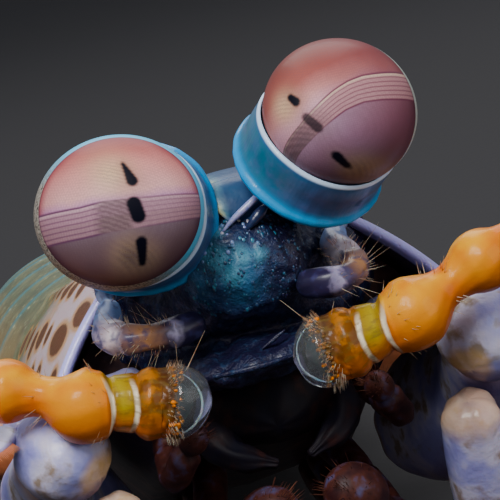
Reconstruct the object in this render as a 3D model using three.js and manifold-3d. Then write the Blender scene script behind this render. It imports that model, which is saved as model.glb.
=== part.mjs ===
// A mantis shrimp, whole and at life size, standing still with its head raised.
// Millimetres, +Z up. The animal looks along -Y, and its right side is at -X.
import * as THREE from "three";
import { mergeVertices } from "three/addons/utils/BufferGeometryUtils.js";
import Module from "manifold-3d";

const wasm = await Module();
wasm.setup();

// Driving sizes of the body, in the animal's own frame: y = 0 is the front of the carapace.
const GAP = 0.3;
const CARAPACE_LENGTH = 33;
const CARAPACE_WALL = 1.3;
const THORAX_ENDS = [33, 37, 42, 47.5, 53];
const ABDOMEN_ENDS = [53, 63.5, 74, 85, 96.5, 109, 118];
const TELSON_LENGTH = 22;
const TELSON_DROP = 8.15;
const LEG_STATIONS = [40, 44.5, 50];
const SECTION_POINTS = 16;

// Stations of the trunk: half width, height of the back, of the lower shell edge and of the
// belly, and how square the arch of the back is.
const CARAPACE_STATIONS = [
  { y: 0, w: 12.4, top: 36.8, edge: 26.6, belly: 22.6, arch: 1.4 },
  { y: 11, w: 13.1, top: 34.3, edge: 22.4, belly: 17.6, arch: 1.75 },
  { y: 22, w: 13.7, top: 31.4, edge: 18.6, belly: 13.4, arch: 2 },
  { y: 33, w: 14, top: 28.4, edge: 15.8, belly: 11, arch: 2.1 },
  { y: 38, w: 14, top: 27.2, edge: 15.2, belly: 10.8, arch: 2.1 },
];
const TRUNK_STATIONS = [
  { y: 33, w: 12.1, top: 26.6, edge: 15.4, belly: 11, arch: 2.1 },
  { y: 42, w: 12.5, top: 25.2, edge: 13.8, belly: 10.6, arch: 2.1 },
  { y: 53, w: 13.8, top: 23.4, edge: 11, belly: 10.8, arch: 2.2 },
  { y: 74, w: 14.8, top: 20.4, edge: 7.6, belly: 9.8, arch: 2.3 },
  { y: 96.5, w: 14.4, top: 17.2, edge: 5.6, belly: 7.8, arch: 2.3 },
  { y: 109, w: 13.4, top: 15, edge: 4.4, belly: 6.4, arch: 2.2 },
  { y: 118, w: 12, top: 13, edge: 3.6, belly: 5, arch: 2.1 },
];

// Colours of the shell and limbs.
const SHELL_GREEN = 0x5f6f3a;
const SHELL_SPOTTED = 0xd8cdbd;
const TEAL = 0x1f73a0;
const CORNEA_PINK = 0xb9848a;
const ORANGE = 0xf79a0a;
const LILAC = 0xbfc2ea;
const LEG_RED = 0xb5532c;
const HEEL_RED = 0xd8481f;

const vec = (x, y, z) => new THREE.Vector3(x, y, z);
const SIDES = [
  { name: "right", s: -1 },
  { name: "left", s: 1 },
];
const model = new THREE.Group();

// Solids

// A closed surface through rings of equally many points. An end may be a single point.
function loft(rings) {
  const count = Math.max(...rings.map((ring) => ring.length));
  const position = [];
  const starts = [];
  for (const ring of rings) {
    starts.push(position.length / 3);
    for (const p of ring) position.push(p.x, p.y, p.z);
  }
  const index = [];
  for (let i = 0; i + 1 < rings.length; i++) {
    const [a, b] = [starts[i], starts[i + 1]];
    for (let j = 0; j < count; j++) {
      const k = (j + 1) % count;
      if (rings[i].length === 1) index.push(a, b + k, b + j);
      else if (rings[i + 1].length === 1) index.push(a + j, a + k, b);
      else index.push(a + j, a + k, b + k, a + j, b + k, b + j);
    }
  }
  addEnd(index, rings[0], starts[0], true);
  addEnd(index, rings[rings.length - 1], starts[rings.length - 1], false);
  const geometry = new THREE.BufferGeometry();
  geometry.setAttribute("position", new THREE.Float32BufferAttribute(position, 3));
  geometry.setIndex(index);
  const made = solid(geometry);
  if (made.volume() > 0) return made;
  geometry.setIndex(index.map((_, i) => index[i - (i % 3) + (2 - (i % 3))]));
  return solid(geometry);
}

// Fills the end ring of a loft in the plane that it lies closest to.
function addEnd(index, ring, start, first) {
  if (ring.length < 3) return;
  const normal = vec(0, 0, 0);
  ring.forEach((p, i) => normal.add(vec(0, 0, 0).crossVectors(p, ring[(i + 1) % ring.length])));
  normal.normalize();
  const across = ring[1].clone().sub(ring[0]).normalize();
  const up = vec(0, 0, 0).crossVectors(normal, across);
  const flat = ring.map((p) => new THREE.Vector2(p.dot(across), p.dot(up)));
  for (const [a, b, c] of THREE.ShapeUtils.triangulateShape(flat, [])) {
    const turn = THREE.ShapeUtils.area([flat[a], flat[b], flat[c]]) > 0;
    const order = turn === first ? [a, c, b] : [a, b, c];
    index.push(...order.map((k) => start + k));
  }
}

// A three.js geometry as a solid that can be joined and cut.
function solid(geometry) {
  const bare = new THREE.BufferGeometry();
  bare.setAttribute("position", geometry.getAttribute("position"));
  bare.setIndex(geometry.index);
  const merged = mergeVertices(bare, 1e-4);
  return new wasm.Manifold(
    new wasm.Mesh({
      numProp: 3,
      vertProperties: merged.attributes.position.array,
      triVerts: new Uint32Array(merged.index.array),
    }),
  );
}

const join = (...parts) => parts.flat().reduce((a, b) => a.add(b));
const cut = (part, ...tools) => tools.flat().reduce((a, b) => a.subtract(b), part);
const largest = (part) =>
  part.decompose().reduce((a, b) => (a.volume() > b.volume() ? a : b));

// Adds a finished node to the model: its largest closed surface, in its own material.
function addNode(name, part, color, roughness = 0.4) {
  const mesh = largest(part).getMesh();
  const count = mesh.vertProperties.length / mesh.numProp;
  const position = new Float32Array(count * 3);
  for (let i = 0; i < count; i++) {
    const from = i * mesh.numProp;
    position.set(mesh.vertProperties.subarray(from, from + 3), i * 3);
  }
  const geometry = new THREE.BufferGeometry();
  geometry.setAttribute("position", new THREE.BufferAttribute(position, 3));
  geometry.setIndex(new THREE.BufferAttribute(mesh.triVerts, 1));
  const material = new THREE.MeshStandardMaterial({ color, roughness, metalness: 0 });
  const node = new THREE.Mesh(geometry, material);
  node.name = name;
  model.add(node);
}

// A limb along a curve: radii are spread evenly along it, each [across, through] or one number.
// `wide` is the direction of the first radius. A radius of 0 at an end makes a point.
function limb(points, radii, { sides = 8, steps = radii.length - 1, wide, grow = 0 } = {}) {
  const curve = new THREE.CatmullRomCurve3(points, false, "centripetal");
  const pairs = radii.map((r) => (Array.isArray(r) ? r : [r, r]));
  const rings = [];
  for (let i = 0; i <= steps; i++) {
    const t = i / steps;
    const at = curve.getPointAt(t);
    const along = curve.getTangentAt(t);
    if (i === 0) at.addScaledVector(along, -grow);
    if (i === steps) at.addScaledVector(along, grow);
    const place = t * (pairs.length - 1);
    const k = Math.min(Math.floor(place), pairs.length - 2);
    const [rx, ry] = [0, 1].map((n) =>
      THREE.MathUtils.lerp(pairs[k][n], pairs[k + 1][n], place - k),
    );
    if (rx + grow < 1e-3) {
      rings.push([at]);
      continue;
    }
    rings.push(ellipse(at, along, wide, rx + grow, ry + grow, sides));
  }
  return loft(rings);
}

// One ring of points round a place, square to a direction.
function ellipse(at, along, wide, rx, ry, sides, power = 1) {
  const hint = wide ?? (Math.abs(along.z) < 0.9 ? vec(0, 0, 1) : vec(0, 1, 0));
  const x = hint.clone().addScaledVector(along, -hint.dot(along)).normalize();
  const y = vec(0, 0, 0).crossVectors(along, x);
  return Array.from({ length: sides }, (_, j) => {
    const turn = ((j + 0.5) / sides) * 2 * Math.PI;
    const [c, s] = [Math.cos(turn), Math.sin(turn)].map(
      (v) => Math.sign(v) * Math.abs(v) ** power,
    );
    return at.clone().addScaledVector(x, c * rx).addScaledVector(y, s * ry);
  });
}

// An ellipsoid with its own three axes.
function ovoid(at, axes, radii, [across = 14, along = 8] = []) {
  const shape = new THREE.SphereGeometry(1, across, along);
  shape.deleteAttribute("normal");
  shape.deleteAttribute("uv");
  const [x, y, z] = axes.map((a, i) => a.clone().multiplyScalar(radii[i]));
  shape.applyMatrix4(new THREE.Matrix4().makeBasis(x, y, z).setPosition(at));
  return solid(shape);
}

// A pointed spine from a root to a tip.
const spine = (root, tip, radius, sides = 5) =>
  limb([root, tip], [radius, 0], { sides });

// Everything on one side of a plane, as a large block.
function halfSpace(at, normal, size = 200) {
  const block = new THREE.BoxGeometry(size, size, size);
  const turn = new THREE.Quaternion().setFromUnitVectors(vec(0, 0, 1), normal);
  block.applyQuaternion(turn);
  const middle = at.clone().addScaledVector(normal, size / 2);
  block.translate(middle.x, middle.y, middle.z);
  return solid(block);
}

// Three square axes with the last along a direction and the first as level as can be.
function frameAlong(direction) {
  const z = direction.clone().normalize();
  const x = vec(-z.y, z.x, 0).normalize();
  const y = vec(0, 0, 0).crossVectors(z, x);
  return [x, y, z];
}

const belowFloor = halfSpace(vec(0, 0, 0), vec(0, 0, -1), 400);

// Trunk

// The sizes of the trunk at one station, between the rows of a table.
function stationAt(table, y) {
  const last = table.length - 2;
  const found = table.findIndex((row, i) => i <= last && y <= table[i + 1].y);
  const k = found < 0 ? last : found;
  const t = (y - table[k].y) / (table[k + 1].y - table[k].y);
  const mix = (key) => THREE.MathUtils.lerp(table[k][key], table[k + 1][key], t);
  return { w: mix("w"), top: mix("top"), edge: mix("edge"), belly: mix("belly"), arch: mix("arch") };
}

// The arch of the back, from the right edge over the top to the left edge.
function archPoints(row, inset, steps) {
  const [w, height] = [row.w - inset, row.top - inset - row.edge];
  return Array.from({ length: steps + 1 }, (_, i) => {
    const turn = (i / steps) * Math.PI;
    const c = Math.cos(turn);
    const x = -Math.sign(c) * w * Math.abs(c) ** (2 / row.arch);
    const z = row.edge + height * Math.max(Math.sin(turn), 0) ** (2 / row.arch);
    return vec(x, 0, z);
  });
}

// A length of the trunk from one station to another. The rear edge is raised as a shell rim.
function trunkPart(table, from, to, { inset = 0, rim = 0, grow = 0, keel = 0.62, ends = 4 } = {}) {
  const rings = [];
  const margin = 1.1;
  const places = rim
    ? [0, 0.25, 0.6, 1 - margin / (to - from), 1]
    : Array.from({ length: ends + 1 }, (_, i) => i / ends);
  places.forEach((t, i) => {
    const y = THREE.MathUtils.lerp(from, to, t);
    const row = stationAt(table, y);
    const lift = rim * [-1, 0.2, 0.3, 0.2, 1][i] || 0;
    const points = archPoints(row, inset - grow - lift, SECTION_POINTS);
    const low = row.belly - grow;
    const inner = row.w * keel + grow;
    const flank = row.w - inset - 1.6 + grow;
    const shoulder = Math.min(row.edge, row.belly + 9) - grow;
    points.push(vec(flank, 0, shoulder), vec(inner, 0, low), vec(0, 0, low - 0.6));
    points.push(vec(-inner, 0, low), vec(-flank, 0, shoulder));
    points.forEach((p) => (p.y = y));
    rings.push(points);
  });
  return loft(rings);
}

// The carapace: a free shell over the core, with its front corners and rear lobes drawn out.
function carapaceShell(grow = 0) {
  const stops = [0, 1.2, 6, 12, 19, 26, 32, CARAPACE_LENGTH];
  const rings = stops.map((y, i) => {
    const found = stationAt(CARAPACE_STATIONS, y);
    const row = { ...found, edge: found.edge - grow };
    const end = i === 0 ? -grow : i === stops.length - 1 ? grow : 0;
    const outer = archPoints(row, -grow, SECTION_POINTS);
    const inner = archPoints(row, CARAPACE_WALL + grow, SECTION_POINTS).reverse();
    return [...outer, ...inner].map((p) => {
      const out = (Math.abs(p.x) / row.w) ** 2;
      const t = y / CARAPACE_LENGTH;
      return vec(p.x, y + end - 3.4 * out * (1 - t) ** 2 + 3 * out * t ** 3, p.z);
    });
  });
  return loft(rings);
}

addNode("carapace", carapaceShell(), SHELL_SPOTTED);
const carapaceGrown = carapaceShell(GAP);
const coreForm = (grow = 0) =>
  trunkPart(CARAPACE_STATIONS, 1, CARAPACE_LENGTH - GAP, {
    inset: CARAPACE_WALL + GAP,
    keel: 0.5,
    grow,
    ends: 5,
  });
addNode("cephalothorax", coreForm(), SHELL_GREEN);
const coreGrown = coreForm(GAP);

for (let i = 0; i < THORAX_ENDS.length - 1; i++) {
  const [from, to] = [THORAX_ENDS[i], THORAX_ENDS[i + 1] - GAP];
  addNode("thorax_" + (i + 5), trunkPart(TRUNK_STATIONS, from, to, { rim: 0.15 }), SHELL_GREEN);
}
const trunkGrown = trunkPart(TRUNK_STATIONS, 33, 118, { grow: GAP + 0.3, ends: 24 });

// Abdomen, with the swimming legs and their gills on its first five somites

function pleopod(s, y) {
  const row = stationAt(TRUNK_STATIONS, y);
  const root = vec(s * 7.2, y - 2.6, row.belly + 1.2);
  const knee = root.clone().add(vec(s * 0.6, 1.2, -3));
  const pieces = [limb([root, knee], [[2, 1.1], [1.5, 0.8]], { sides: 6, wide: vec(1, 0, 0) })];
  for (const [spread, length] of [[1.9, 7.2], [-1.9, 6.4]]) {
    const start = knee.clone().add(vec(s * spread * 0.25, -0.4, 0.6));
    const mid = knee.clone().add(vec(s * spread, length * 0.5, -1.5));
    const end = knee.clone().add(vec(s * spread * 1.3, length, -2.4));
    const blade = [[0.8, 0.4], [2, 0.35], [1.9, 0.3], [0, 0]];
    pieces.push(limb([start, mid, end], blade, { sides: 6, wide: vec(1, 0, 0.15 * s * spread) }));
  }
  const filaments = 3;
  for (let i = 0; i < filaments; i++) {
    const t = i / (filaments - 1) - 0.5;
    const start = knee.clone().add(vec(-s * 0.8, 0.2 + t * 0.8, 0.6));
    const mid = start.clone().add(vec(-s * (2 + t), 1.2 + 2.6 * t, -0.4 - 0.5 * Math.abs(t)));
    const end = mid.clone().add(vec(-s * 1.4, 2.2 + 2.4 * t, -0.9));
    pieces.push(limb([start, mid, end], [0.42, 0.38, 0], { sides: 4 }));
  }
  return pieces;
}

for (let i = 0; i < ABDOMEN_ENDS.length - 1; i++) {
  const [from, to] = [ABDOMEN_ENDS[i], ABDOMEN_ENDS[i + 1] - GAP];
  const pieces = [trunkPart(TRUNK_STATIONS, from, to, { rim: 0.25 })];
  if (i < 5) SIDES.forEach(({ s }) => pieces.push(...pleopod(s, from + 4.6)));
  if (i === 5) {
    for (const x of [2.6, 6.4, 10]) {
      for (const s of [-1, 1]) {
        const row = stationAt(TRUNK_STATIONS, to);
        const z = row.edge + (row.top - row.edge) * Math.sqrt(1 - (x / row.w) ** 2) - 0.3;
        const root = vec(s * x, to - 5, z + 0.3);
        pieces.push(limb([root, vec(s * x, to - 0.4, z + 0.5)], [0.3, 0.7, 0.2], { sides: 5 }));
      }
    }
  }
  addNode("abdomen_" + (i + 1), join(pieces), SHELL_GREEN);
}

// Telson

function telson() {
  const front = vec(0, 118, 8.6);
  const at = (x, along, z) => {
    const t = Math.min(along / TELSON_LENGTH, 1);
    const sink = TELSON_DROP * (1 - (1 - t) ** 2);
    return front.clone().add(vec(x, along, z - sink));
  };
  const rows = [
    { t: 0, w: 10.4, thick: 4.6 },
    { t: 0.18, w: 11.6, thick: 4.4 },
    { t: 0.45, w: 11.8, thick: 3.6 },
    { t: 0.7, w: 10.6, thick: 2.6 },
    { t: 0.86, w: 8.4, thick: 1.8 },
    { t: 0.95, w: 6, thick: 1.2 },
  ];
  const keels = [0, 0.3, 0.56, 0.8];
  const rings = rows.map(({ t, w, thick }) => {
    const top = Array.from({ length: 17 }, (_, i) => {
      const u = i / 8 - 1;
      const near = Math.min(...keels.map((k) => Math.abs(Math.abs(u) - k)));
      const ridge = near < 0.03 ? 0.75 : 0;
      const dome = thick * 0.55 * Math.sqrt(1 - 0.98 * u * u);
      return at(u * w, t * TELSON_LENGTH, dome + ridge * (1 - t * 0.5));
    });
    const under = [0.7, 0.25, -0.25, -0.7].map((u) => at(u * w, t * TELSON_LENGTH, -thick * 0.42));
    return [...top, ...under];
  });
  const pieces = [loft(rings)];
  for (const s of [-1, 1]) {
    const teeth = [
      { x: 2.4, from: 0.86, length: 3.4, r: 0.9 },
      { x: 6.2, from: 0.74, length: 3.6, r: 1 },
      { x: 9.6, from: 0.52, length: 4, r: 1 },
    ];
    for (const { x, from, length, r } of teeth) {
      const root = at(s * x, from * TELSON_LENGTH, 0.2);
      const tip = at(s * (x + 0.9), from * TELSON_LENGTH + length + 2.4, -0.3);
      pieces.push(spine(root, tip, r, 6));
    }
    for (let i = 0; i < 3; i++) {
      const x = 3.6 + i * 0.75;
      const along = (0.9 - i * 0.02) * TELSON_LENGTH;
      pieces.push(spine(at(s * x, along, 0), at(s * x, along + 2.1, -0.1), 0.36, 4));
    }
  }
  return cut(join(pieces), belowFloor, halfSpace(vec(0, 118, 0), vec(0, -1, 0)));
}
addNode("telson", telson(), TEAL);

// Uropods, at both sides of the telson

for (const { name, s } of SIDES) {
  const hip = vec(s * 10.6, 115.4, 8);
  const knee = vec(s * 14.8, 122.4, 5.4);
  const spineRoot = knee.clone().add(vec(0, -0.6, -0.6));
  const base = join(
    limb([hip, knee], [[2.4, 1.7], [2.8, 1.8], [2, 1.4]], { wide: vec(1, 0, 0) }),
    spine(spineRoot, vec(s * 17.6, 138, 1.2), 1.2, 6),
    spine(spineRoot, vec(s * 14.6, 133, 1.2), 0.9, 5),
  );
  const bladeWide = vec(1, 0, -0.12 * s);
  const outPath = [knee.clone().add(vec(s * 2, 1.2, 0.5)), vec(s * 21, 131, 3.4), vec(s * 24.4, 141, 1.5)];
  const outSizes = [[1.2, 0.8], [2.7, 0.9], [3, 0.8], [2.4, 0.7], [3, 0.5], [2.7, 0.4], [0.8, 0.3]];
  const outerBlade = (grow) => limb(outPath, outSizes, { sides: 8, wide: bladeWide, grow });
  const inPath = [knee.clone().add(vec(-s * 0.5, 1.8, 0.9)), vec(s * 14.6, 131, 3.8), vec(s * 15, 140.6, 1.5)];
  const inSizes = [[0.9, 0.5], [1.9, 0.6], [2.3, 0.5], [1.9, 0.4], [0.5, 0.3]];
  const innerBlade = (grow) => limb(inPath, inSizes, { sides: 8, wide: bladeWide, grow });
  const outline = new THREE.CatmullRomCurve3(outPath, false, "centripetal");
  const spines = Array.from({ length: 7 }, (_, i) => {
    const root = outline.getPointAt(0.2 + i * 0.055).add(vec(s * 2.1, 0, 0));
    return spine(root, root.clone().add(vec(s * 2, 2.4, -0.1)), 0.42, 4);
  });
  const protopod = cut(base, trunkGrown, outerBlade(GAP), innerBlade(GAP));
  addNode("uropod_" + name, cut(protopod, halfSpace(vec(0, 0, 0.6), vec(0, 0, -1))), SHELL_GREEN);
  addNode("uropod_exopod_" + name, join(outerBlade(0), spines), TEAL);
  const besideTelson = halfSpace(vec(s * 12.4, 0, 0), vec(-s, 0, 0));
  addNode("uropod_endopod_" + name, cut(innerBlade(0), outerBlade(GAP), besideTelson), TEAL);
}

// Walking legs

const LEG_FEET = [
  { x: 27, y: 29 },
  { x: 29.5, y: 43 },
  { x: 27.5, y: 58 },
];
for (const { name, s } of SIDES) {
  LEG_STATIONS.forEach((y, i) => {
    const foot = LEG_FEET[i];
    const hip = vec(s * 8.2, y, 12.4);
    const knee = vec(s * 17.5, y + (foot.y - y) * 0.35, 15);
    const ankle = vec(s * 24.5, y + (foot.y - y) * 0.8, 7.8);
    const toe = vec(s * foot.x, foot.y, -0.6);
    const radii = [1.7, 1.7, 1.5, 1.25, 1.35, 1.1, 0.95, 1.05, 0.85, 0.7, 0.62];
    const leg = limb([hip, vec(s * 13, y + (foot.y - y) * 0.15, 13.4), knee, ankle, toe], radii, {
      sides: 6,
      steps: 12,
    });
    const side = vec(s * 12, y + (foot.y - y) * 0.12, 13.8);
    const rod = limb(
      [side, side.clone().add(vec(s * 5, 1.5, 3.2)), side.clone().add(vec(s * 10.5, 3, 2))],
      [0.7, 0.6, 0.85, 0],
      { sides: 5 },
    );
    addNode("walking_leg_" + (i + 1) + "_" + name, cut(join(leg, rod), trunkGrown, belowFloor), LEG_RED);
  });
}

// Head

function headForm(grow = 0) {
  const rows = [
    { y: 0.7, x: 0, z: 31, w: 8.4, h: 4.4 },
    { y: -2.2, x: 0, z: 31.6, w: 6.6, h: 4.2 },
    { y: -4.6, x: -0.2, z: 32.8, w: 4.3, h: 3.6 },
    { y: -6.4, x: -0.3, z: 33.4, w: 3.4, h: 3 },
    { y: -8.2, x: -0.3, z: 33.5, w: 3, h: 2.7 },
    { y: -9.4, x: -0.3, z: 33.5, w: 2, h: 1.8 },
  ];
  const forward = vec(0, -1, 0);
  const rings = rows.map(({ y, x, z, w, h }, i) => {
    const shift = i === 0 ? 0 : i === rows.length - 1 ? -grow : 0;
    return ellipse(vec(x, y + shift, z), forward, vec(1, 0, 0), w + grow, h + grow, 16, 0.85);
  });
  const shelf = limb(
    [vec(-0.4, 0.7, 28.2), vec(-1, -5, 28.2), vec(-1.6, -10, 28.5)],
    [[7.4, 1.8], [6.4, 1.5], [5.2, 1.3], [4.2, 1.1], [3, 0.8]],
    { sides: 10, wide: vec(1, 0, 0), grow },
  );
  const ocular = limb(
    [vec(0, -0.4, 35), vec(0, -6.4, 35.6)],
    [[4, 1.6], [3.6, 1.6], [2.6, 1.3], [1.4, 0.8]],
    { sides: 8, wide: vec(1, 0, 0), grow },
  );
  return join(loft(rings), shelf, ocular);
}

const rostral = (grow = 0) =>
  limb(
    [vec(0, -0.6, 37), vec(0.1, -3.6, 37.6), vec(0.2, -6.2, 37.7)],
    [[3.6, 0.5], [3.7, 0.55], [3.1, 0.55], [1.9, 0.5], [0.5, 0.35]],
    { sides: 8, steps: 6, wide: vec(1, 0, 0), grow },
  );

// The two eyes look different ways. Each has the place of its cornea, the way the cornea and
// its cup face, the direction of its midband, and the root of its stalk on the head.
const EYES = {
  right: {
    at: vec(-6.36, -10, 38.6),
    axis: vec(-0.265, -0.914, 0.308),
    band: vec(0.979, -0.163, -0.119),
    root: vec(-1.9, -4.4, 35.9),
  },
  left: {
    at: vec(6.26, -9.5, 40.56),
    axis: vec(0.458, -0.608, 0.647),
    band: vec(0.715, 0.684, 0.136),
    root: vec(2.2, -4.2, 36),
  },
};
const CORNEA_RADII = { band: 4.45, across: 4.05, depth: 3.5 };
const CUP_BEHIND = 1.4;
const STALK_NECK = [2.2, 1.9, 1.7, 1.8];
const eyeAxes = ({ axis, band }) => {
  const z = axis.clone().normalize();
  const x = band.clone().addScaledVector(z, -band.dot(z)).normalize();
  return [x, vec(0, 0, 0).crossVectors(z, x), z];
};

// The cup that holds a cornea, with its raised rim, and the neck down to the head.
function stalkForm(eye, grow = 0) {
  const [x, , z] = eyeAxes(eye);
  const profile = [
    { back: CUP_BEHIND, rx: 4.22, ry: 3.84 },
    { back: CUP_BEHIND + 0.4, rx: 4.34, ry: 3.96 },
    { back: 2.7, rx: 4.3, ry: 3.92 },
    { back: 3.2, rx: 4.5, ry: 4.12 },
    { back: 3.6, rx: 4.36, ry: 3.98 },
    { back: 4.1, rx: 3.3, ry: 3 },
    { back: 5.1, rx: 2.3, ry: 2.1 },
  ];
  const cup = loft(
    profile.map(({ back, rx, ry }, i) => {
      const shift = i === 0 ? grow : 0;
      const at = eye.at.clone().addScaledVector(z, shift - back);
      return ellipse(at, z, x, rx + grow, ry + grow, 18, 0.93);
    }),
  );
  const top = eye.at.clone().addScaledVector(z, -4.3);
  const bend = eye.at.clone().addScaledVector(z, -5.6);
  return join(cup, limb([top, bend, eye.root], STALK_NECK, { sides: 8, steps: 4, grow }));
}

for (const { name } of SIDES) {
  const eye = EYES[name];
  const axes = eyeAxes(eye);
  const back = eye.at.clone().addScaledVector(axes[2], GAP - CUP_BEHIND);
  const turned = [axes[0], axes[2].clone().negate(), axes[1]];
  const { band, across, depth } = CORNEA_RADII;
  const ball = ovoid(eye.at, turned, [band, depth, across], [20, 10]);
  addNode("eye_" + name, cut(ball, halfSpace(back, axes[2].clone().negate())), CORNEA_PINK, 0.25);
  const others = [headForm(GAP), rostral(GAP), coreGrown];
  addNode("eyestalk_" + name, cut(stalkForm(eye), ...others), TEAL);
}
addNode("rostral_plate", cut(rostral(), halfSpace(vec(0, -GAP, 0), vec(0, 1, 0)), headForm(GAP)), TEAL);
addNode("head_front", cut(headForm(), halfSpace(vec(0, 0.65, 0), vec(0, 1, 0)), carapaceGrown), TEAL);
const headGrown = headForm(GAP);

// Antennae: a clear cap at the inner end, then orange beads, and a long feeler

const ANTENNAE = {
  right: {
    cap: [vec(-4.3, -11.7, 27.9), vec(-5.4, -11.6, 28.3), vec(-6.7, -11.5, 28.6)],
    beads: [vec(-6.9, -11.5, 28.6), vec(-9, -11.3, 29.2), vec(-10.9, -11.2, 29.6),
      vec(-12.6, -10.4, 30.4), vec(-14.6, -9.6, 31.1), vec(-18, -9.4, 31.6)],
    feeler: [vec(-18.3, -9.4, 31.6), vec(-26, -14, 36), vec(-38, -30, 40), vec(-44, -50, 38)],
  },
  left: {
    cap: [vec(0.3, -12.3, 29.1), vec(1.2, -12.4, 29.1), vec(2.5, -12.6, 29.2)],
    beads: [vec(2.7, -12.6, 29.2), vec(4.9, -12.9, 29.6), vec(6.6, -13.1, 29.9),
      vec(8.8, -12.8, 30.7), vec(11, -12.6, 31.5), vec(15, -12.4, 32.6)],
    feeler: [vec(15.3, -12.4, 32.7), vec(24, -16, 37), vec(37, -31, 41), vec(44, -50, 39)],
  },
};
const BEAD_RADII = [1.82, 1.92, 1.78, 1.8, 1.76, 1.88, 1.98, 1.96, 1.85, 1.55, 1.32, 1.42, 1.72, 1.84,
  1.65, 1.32, 1.28, 1.4, 1.1, 0.8];
const antennaGrown = {};
for (const { name } of SIDES) {
  const { cap, beads, feeler } = ANTENNAE[name];
  antennaGrown[name] = limb(beads, BEAD_RADII, { sides: 10, steps: 24, grow: GAP });
  const dome = limb(cap, [0.5, 1.3, 1.7, 1.9, 1.95, 1.9], { sides: 10 });
  addNode("antenna_base_" + name, cut(dome, headGrown), LILAC, 0.15);
  const stem = limb(beads, BEAD_RADII, { sides: 10, steps: 24 });
  addNode("antenna_" + name, cut(stem, headGrown), ORANGE, 0.3);
  addNode("antenna_feeler_" + name, limb(feeler, [0.62, 0.5, 0.42, 0.34, 0.25], { sides: 5, steps: 10 }),
    ORANGE);
}

// Antennules: stalks that pass under the eyes and rise behind them, with three feelers swept back

const ANTENNULES = {
  right: {
    stem: [vec(-3.2, -7.2, 31.1), vec(-6.3, -8.4, 31.4), vec(-8.2, -7.1, 31.8), vec(-7.8, -5.3, 32.8),
      vec(-7.5, -3.3, 34), vec(-6.8, -0.4, 35.5)],
    tips: [vec(-5.6, 30, 36.4), vec(-7.9, 27, 35.4), vec(-3.2, 25, 37.6)],
  },
  left: {
    stem: [vec(2.1, -8, 31.9), vec(4, -9.2, 31.8), vec(5.4, -8, 31.9), vec(5.1, -5.2, 32.9),
      vec(6.5, -2.2, 34), vec(7.8, 1, 35.6)],
    tips: [vec(12, 30, 37.6), vec(14.6, 27, 36.2), vec(10, 25, 38.4)],
  },
};
for (const { name } of SIDES) {
  const { stem, tips } = ANTENNULES[name];
  const end = stem[stem.length - 1];
  const stalk = limb(stem, [1, 1.15, 0.85, 1.1, 1, 0.75, 0.9, 0.85, 0.7], { sides: 6, steps: 10 });
  const feelers = tips.map((tip) => {
    const mid = end.clone().lerp(tip, 0.5).add(vec((tip.x - end.x) * 0.15, 0, 1.2));
    const start = end.clone().add(vec(0, -0.6, -0.3));
    return limb([start, mid, tip], [0.5, 0.42, 0.34, 0.25], { sides: 4, steps: 6 });
  });
  addNode("antennule_" + name, cut(join(stalk, feelers), headGrown, carapaceGrown), LILAC);
}

// Raptorial limbs, folded, and the antennal scales beside them: oval blades on short stems

const WRIST_SPREAD = { right: 1.6, left: 0.5 };
for (const { name, s } of SIDES) {
  const out = s * WRIST_SPREAD[name];
  const hip = vec(s * 9.4, 14, 15.4);
  const elbow = vec(s * 11.4 + out, -5.4, 25.4);
  const merus = (grow) =>
    limb([hip, vec(s * 13.2, 4, 19.8), elbow],
      [[2.2, 1.8], [4.2, 2.7], [4.6, 3], [4, 2.8], [3, 2.3], [2.2, 1.8]],
      { sides: 10, steps: 7, wide: vec(0, 0.3, 1), grow });
  const carpus = (grow) =>
    limb([vec(s * 11.4 + out, -5.9, 26), vec(s * 10.8 + out, -8.6, 26.6), vec(s * 9.2 + out, -10.4, 25.4)],
      [[1.6, 1.5], [2.6, 2.3], [2.7, 2.4], [1.7, 1.6]],
      { sides: 10, steps: 5, wide: vec(0, 0, 1), grow });
  const wrist = vec(s * 8.7 + out, -10.4, 23.8);
  const fist = vec(s * 11.8, 1.5, 7.6);
  const propodus = (grow) =>
    limb([wrist, vec(s * 9.8 + out, -6.6, 16.4), fist],
      [[1.4, 1.4], [2.4, 2], [2.9, 2.3], [2.7, 2.2], [2.3, 1.9], [1.8, 1.6]],
      { sides: 10, steps: 6, wide: vec(0, 1, 0.5), grow });
  const stem = limb([vec(s * 6.6, -0.6, 26.8), vec(s * 11, -3.6, 27.4), vec(s * 15, -6.2, 27.8)],
    [1.5, 1.3, 1.2, 1], { sides: 6 });
  const blade = limb([vec(s * 14.4, -6, 27.8), vec(s * 20, -9.4, 28.2), vec(s * 26, -14, 28.4)],
    [[0.8, 0.6], [2.8, 0.5], [3.7, 0.45], [3.7, 0.4], [2.6, 0.35], [0.8, 0.3]],
    { sides: 8, steps: 7, wide: vec(s * 0.6, 0.7, 0) });
  const around = [coreGrown, headGrown, carapaceGrown, merus(GAP), carpus(GAP)];
  addNode("antennal_scale_" + name, cut(join(stem, blade), around), ORANGE);
  const heelAt = fist.clone().add(vec(s * 0.1, 2.2, -2.4));
  const finger = limb(
    [heelAt.clone().add(vec(0, 0.4, 1)), vec(s * 11.6, 2.2, 12.5), vec(s * 10.4, -2, 18)],
    [[1.5, 1.4], [1.2, 1], [0.9, 0.8], [0.6, 0.5], [0, 0]],
    { sides: 6, steps: 5, wide: vec(0, 1, 0) },
  );
  const heel = ovoid(heelAt, frameAlong(vec(0, 0.7, -0.7)), [2.3, 2.1, 3], [10, 6]);
  const meral = cut(merus(0), coreGrown, carapaceGrown);
  addNode("raptorial_merus_" + name, cut(meral, carpus(GAP)), LILAC);
  const carpal = cut(carpus(0), headGrown, antennaGrown[name], propodus(GAP));
  addNode("raptorial_carpus_" + name, carpal, LILAC);
  addNode("raptorial_propodus_" + name, propodus(0), LILAC);
  addNode("raptorial_dactyl_" + name, cut(join(heel, finger), propodus(GAP), merus(GAP)), HEEL_RED);
}

// Mouth and the small mouth legs between the raptorial limbs

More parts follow.
